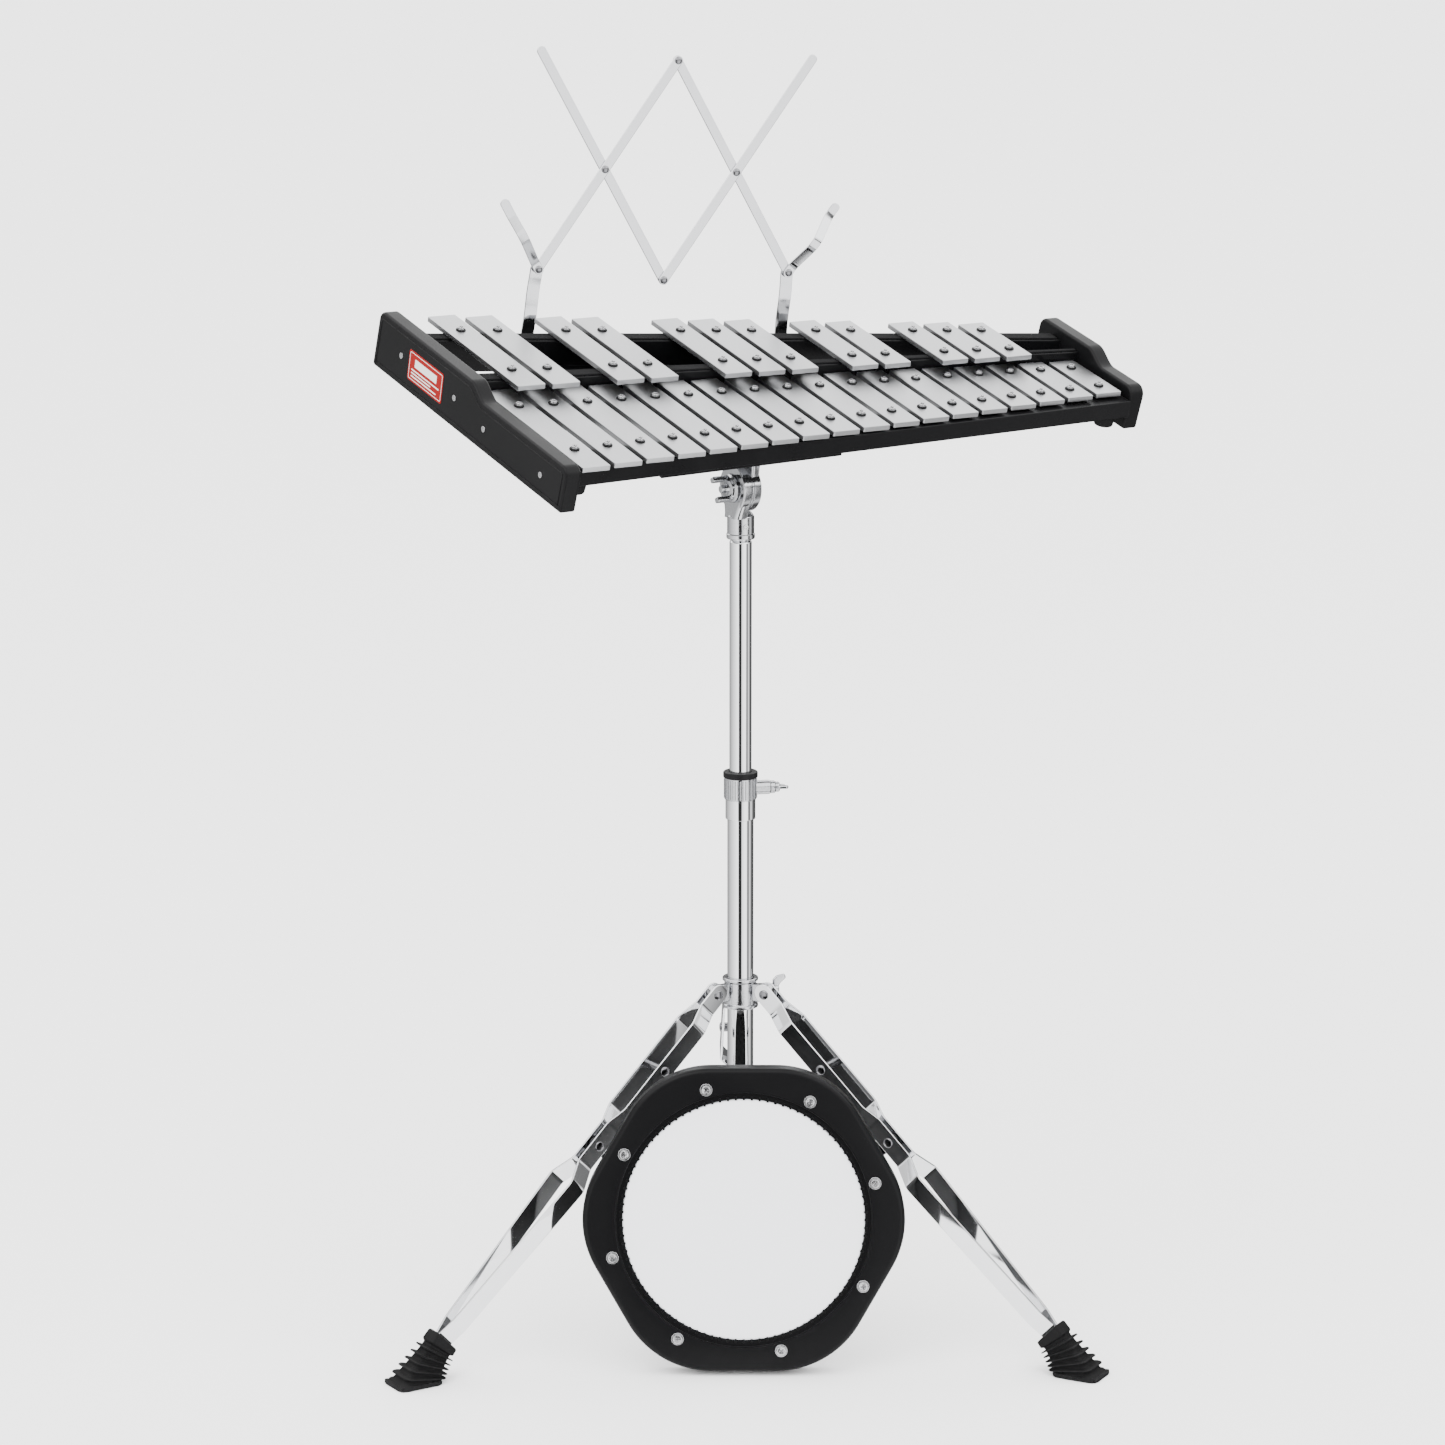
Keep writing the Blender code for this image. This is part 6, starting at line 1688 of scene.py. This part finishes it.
    def build_screws(self) -> None:
        """Makes the screws and washers round the rim."""
        seats = []
        for k in range(self.screws):
            angle = self.first_screw + 2 * pi * k / self.screws
            seats.append(Matrix.Translation((self.screw_circle * cos(angle), self.screw_circle * sin(angle),
                                             self.thick - 0.3 * MM)) @ Matrix.Rotation(angle * 3, 4, "Z"))
        washer = turned(rounded([(1.5 * MM, -0.1 * MM), (5.2 * MM, -0.1 * MM), (5.2 * MM, 0.7 * MM),
                                 (1.5 * MM, 0.7 * MM)], [0.1 * MM, 0.1 * MM, 0.3 * MM, 0.1 * MM], 3), 32)
        put("pad_washers", copies(washer, seats), Finishes.SILVER_SCREW, "pad", self.place)
        head = moved(cross_head(self.screw, 2.2 * MM, 1.1 * MM), Matrix.Translation((0, 0, 0.7 * MM)))
        put("pad_screws", copies(head, seats), Finishes.SILVER_SCREW, "pad", self.place)


# ---- studio -------------------------------------------------------------------------------------
@dataclass
class Studio:
    """Camera, pale floor, soft light and the dark flags that chrome needs to read."""

    lens: float = 125.4
    camera: Vector = field(default_factory=lambda: Vector((0.0, -4.132, 1.4292)))
    pitch: float = radians(12.36)
    yaw: float = radians(0.21)
    world_strength: float = 3.4
    band_strength: float = 3.2
    bands: tuple[tuple[float, float], ...] = (
        (-180, 0.10), (-150, 0.14), (-130, 0.20), (-100, 0.36), (-65, 0.62), (-40, 0.86), (-22, 1.05),
        (-19, 1.0), (-16, 0.02), (8, 0.01), (11, 0.35), (16, 0.85), (24, 0.80), (32, 1.05), (56, 1.05),
        (61, 0.30), (66, 0.06), (76, 0.08), (84, 0.50), (96, 0.45), (106, 0.08), (128, 0.03), (155, 0.06),
        (180, 0.10))
    wall_radius: float = 1.5
    wall_height: float = 0.86
    dark_band: tuple[float, float] = (0.90, 1.02)

    def build(self) -> None:
        """Sets up the camera, the floor, the lights and the reflected surround."""
        stand = PLACES.pivot("table_swivel")
        axis = Vector((stand.x, stand.y, 0.0))
        lens = bpy.data.cameras.new("camera")
        lens.lens, lens.sensor_width, lens.clip_end = self.lens, 36.0, 100.0
        camera = bpy.data.objects.new("camera", lens)
        bpy.context.scene.collection.objects.link(camera)
        camera.location = axis + self.camera
        camera.rotation_euler = (pi / 2 - self.pitch, 0.0, self.yaw)
        bpy.context.scene.camera = camera
        self.build_floor()
        self.build_surround(axis)
        self.build_light("key_softbox", (-1.6, -1.8, 3.2), 2.4, 60.0, axis)
        self.build_light("fill_softbox", (2.2, -1.2, 2.4), 2.0, 20.0, axis)
        world = bpy.data.worlds.new("pale_room")
        world.use_nodes = True
        shade = world.node_tree.nodes["Background"]
        shade.inputs["Color"].default_value = (1.0, 1.0, 1.0, 1.0)
        shade.inputs["Strength"].default_value = self.world_strength
        bpy.context.scene.world = world

    def build_floor(self) -> None:
        """Makes the pale floor."""
        bm = bmesh.new()
        bmesh.ops.create_grid(bm, x_segments=8, y_segments=8, size=60.0)
        mesh = bpy.data.meshes.new("floor")
        bm.to_mesh(mesh)
        bm.free()
        floor = bpy.data.objects.new("floor", mesh)
        bpy.context.scene.collection.objects.link(floor)
        floor.location.z = -0.2 * MM
        made = bpy.data.materials.new("pale_floor")
        made.use_nodes = True
        shader = made.node_tree.nodes["Principled BSDF"]
        shader.inputs["Base Color"].default_value = (0.97, 0.97, 0.97, 1.0)
        shader.inputs["Roughness"].default_value = 0.9
        shader.inputs["Specular IOR Level"].default_value = 0.1
        mesh.materials.append(made)

    def build_surround(self, axis: Vector) -> None:
        """Makes a surround of light and dark bands that only reflections see.

        Args:
            axis: Foot of the stand's axis.
        """
        bm = bmesh.new()
        shade = bm.verts.layers.float.new("shade")
        low, high = self.dark_band
        reach = self.wall_radius
        profile = [(0.30, 0.003, 1.0), (0.8, 0.003, 1.0), (reach, 0.003, 1.0),
                   (reach, self.wall_height, 1.0), (reach, low, 0.03), (reach, high, 0.03),
                   (reach, high + 0.04, 1.0), (reach, high + 0.2, 1.0)]
        columns = []
        for degrees in range(-180, 180):
            value = self.band(degrees)
            angle = radians(degrees - 90)
            column = []
            for r, z, share in profile:
                vertex = bm.verts.new((r * cos(angle), r * sin(angle), z))
                lit = value if z <= self.wall_height else 1.0
                vertex[shade] = lit * share * self.band_strength
                column.append(vertex)
            columns.append(column)
        for here, there in zip(columns, columns[1:] + columns[:1]):
            for k in range(len(profile) - 1):
                bm.faces.new((here[k], there[k], there[k + 1], here[k + 1]))
        mesh = bpy.data.meshes.new("reflection_surround")
        bm.to_mesh(mesh)
        bm.free()
        wall = bpy.data.objects.new("reflection_surround", mesh)
        bpy.context.scene.collection.objects.link(wall)
        wall.location = axis
        made = bpy.data.materials.new("surround_bands")
        made.use_nodes = True
        tree = made.node_tree
        tree.nodes.remove(tree.nodes["Principled BSDF"])
        w = Wiring(tree)
        value = w.add("ShaderNodeAttribute", attribute_name="shade").outputs["Fac"]
        glow = w.add("ShaderNodeEmission", {"Color": (1.0, 1.0, 1.0, 1.0), "Strength": value})
        tree.links.new(glow.outputs[0], tree.nodes["Material Output"].inputs["Surface"])
        mesh.materials.append(made)
        wall.visible_camera = False
        wall.visible_diffuse = False
        wall.visible_shadow = False
        wall.visible_transmission = False

    def band(self, degrees: float) -> float:
        """Brightness of the surround in one direction, 0 being towards the camera."""
        for (a, first), (b, last) in zip(self.bands, self.bands[1:]):
            if a <= degrees <= b:
                return first + (last - first) * (degrees - a) / (b - a)
        return self.bands[0][1]

    def build_light(self, name: str, place: tuple[float, float, float], size: float, power: float,
                    axis: Vector) -> None:
        """Makes one square softbox aimed at the keyboard.

        Args:
            name: Its name.
            place: Its place from the foot of the stand's axis.
            size: Side of the square.
            power: Its power in watts.
            axis: Foot of the stand's axis.
        """
        light = bpy.data.lights.new(name, "AREA")
        light.shape, light.size, light.energy = "SQUARE", size, power
        lamp = bpy.data.objects.new(name, light)
        bpy.context.scene.collection.objects.link(lamp)
        lamp.location = axis + Vector(place)
        aim = axis + Vector((0.0, 0.0, 0.7)) - lamp.location
        lamp.rotation_euler = aim.to_track_quat("-Z", "Y").to_euler()


def corners(pair: tuple[Vector, Vector]) -> list[list[float]]:
    """Two corners as plain lists."""
    return [list(map(float, pair[0])), list(map(float, pair[1]))]


def main() -> None:
    """Builds the whole set."""
    logging.basicConfig(level=logging.INFO, format="%(name)s: %(message)s")
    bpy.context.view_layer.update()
    for part in (Keyboard(), Tilter(), Post(), Tripod(), MusicRack(), PracticePad(), Studio()):
        LOG.info("building %s", type(part).__name__)
        part.build()


if __name__ == "__main__":
    main()
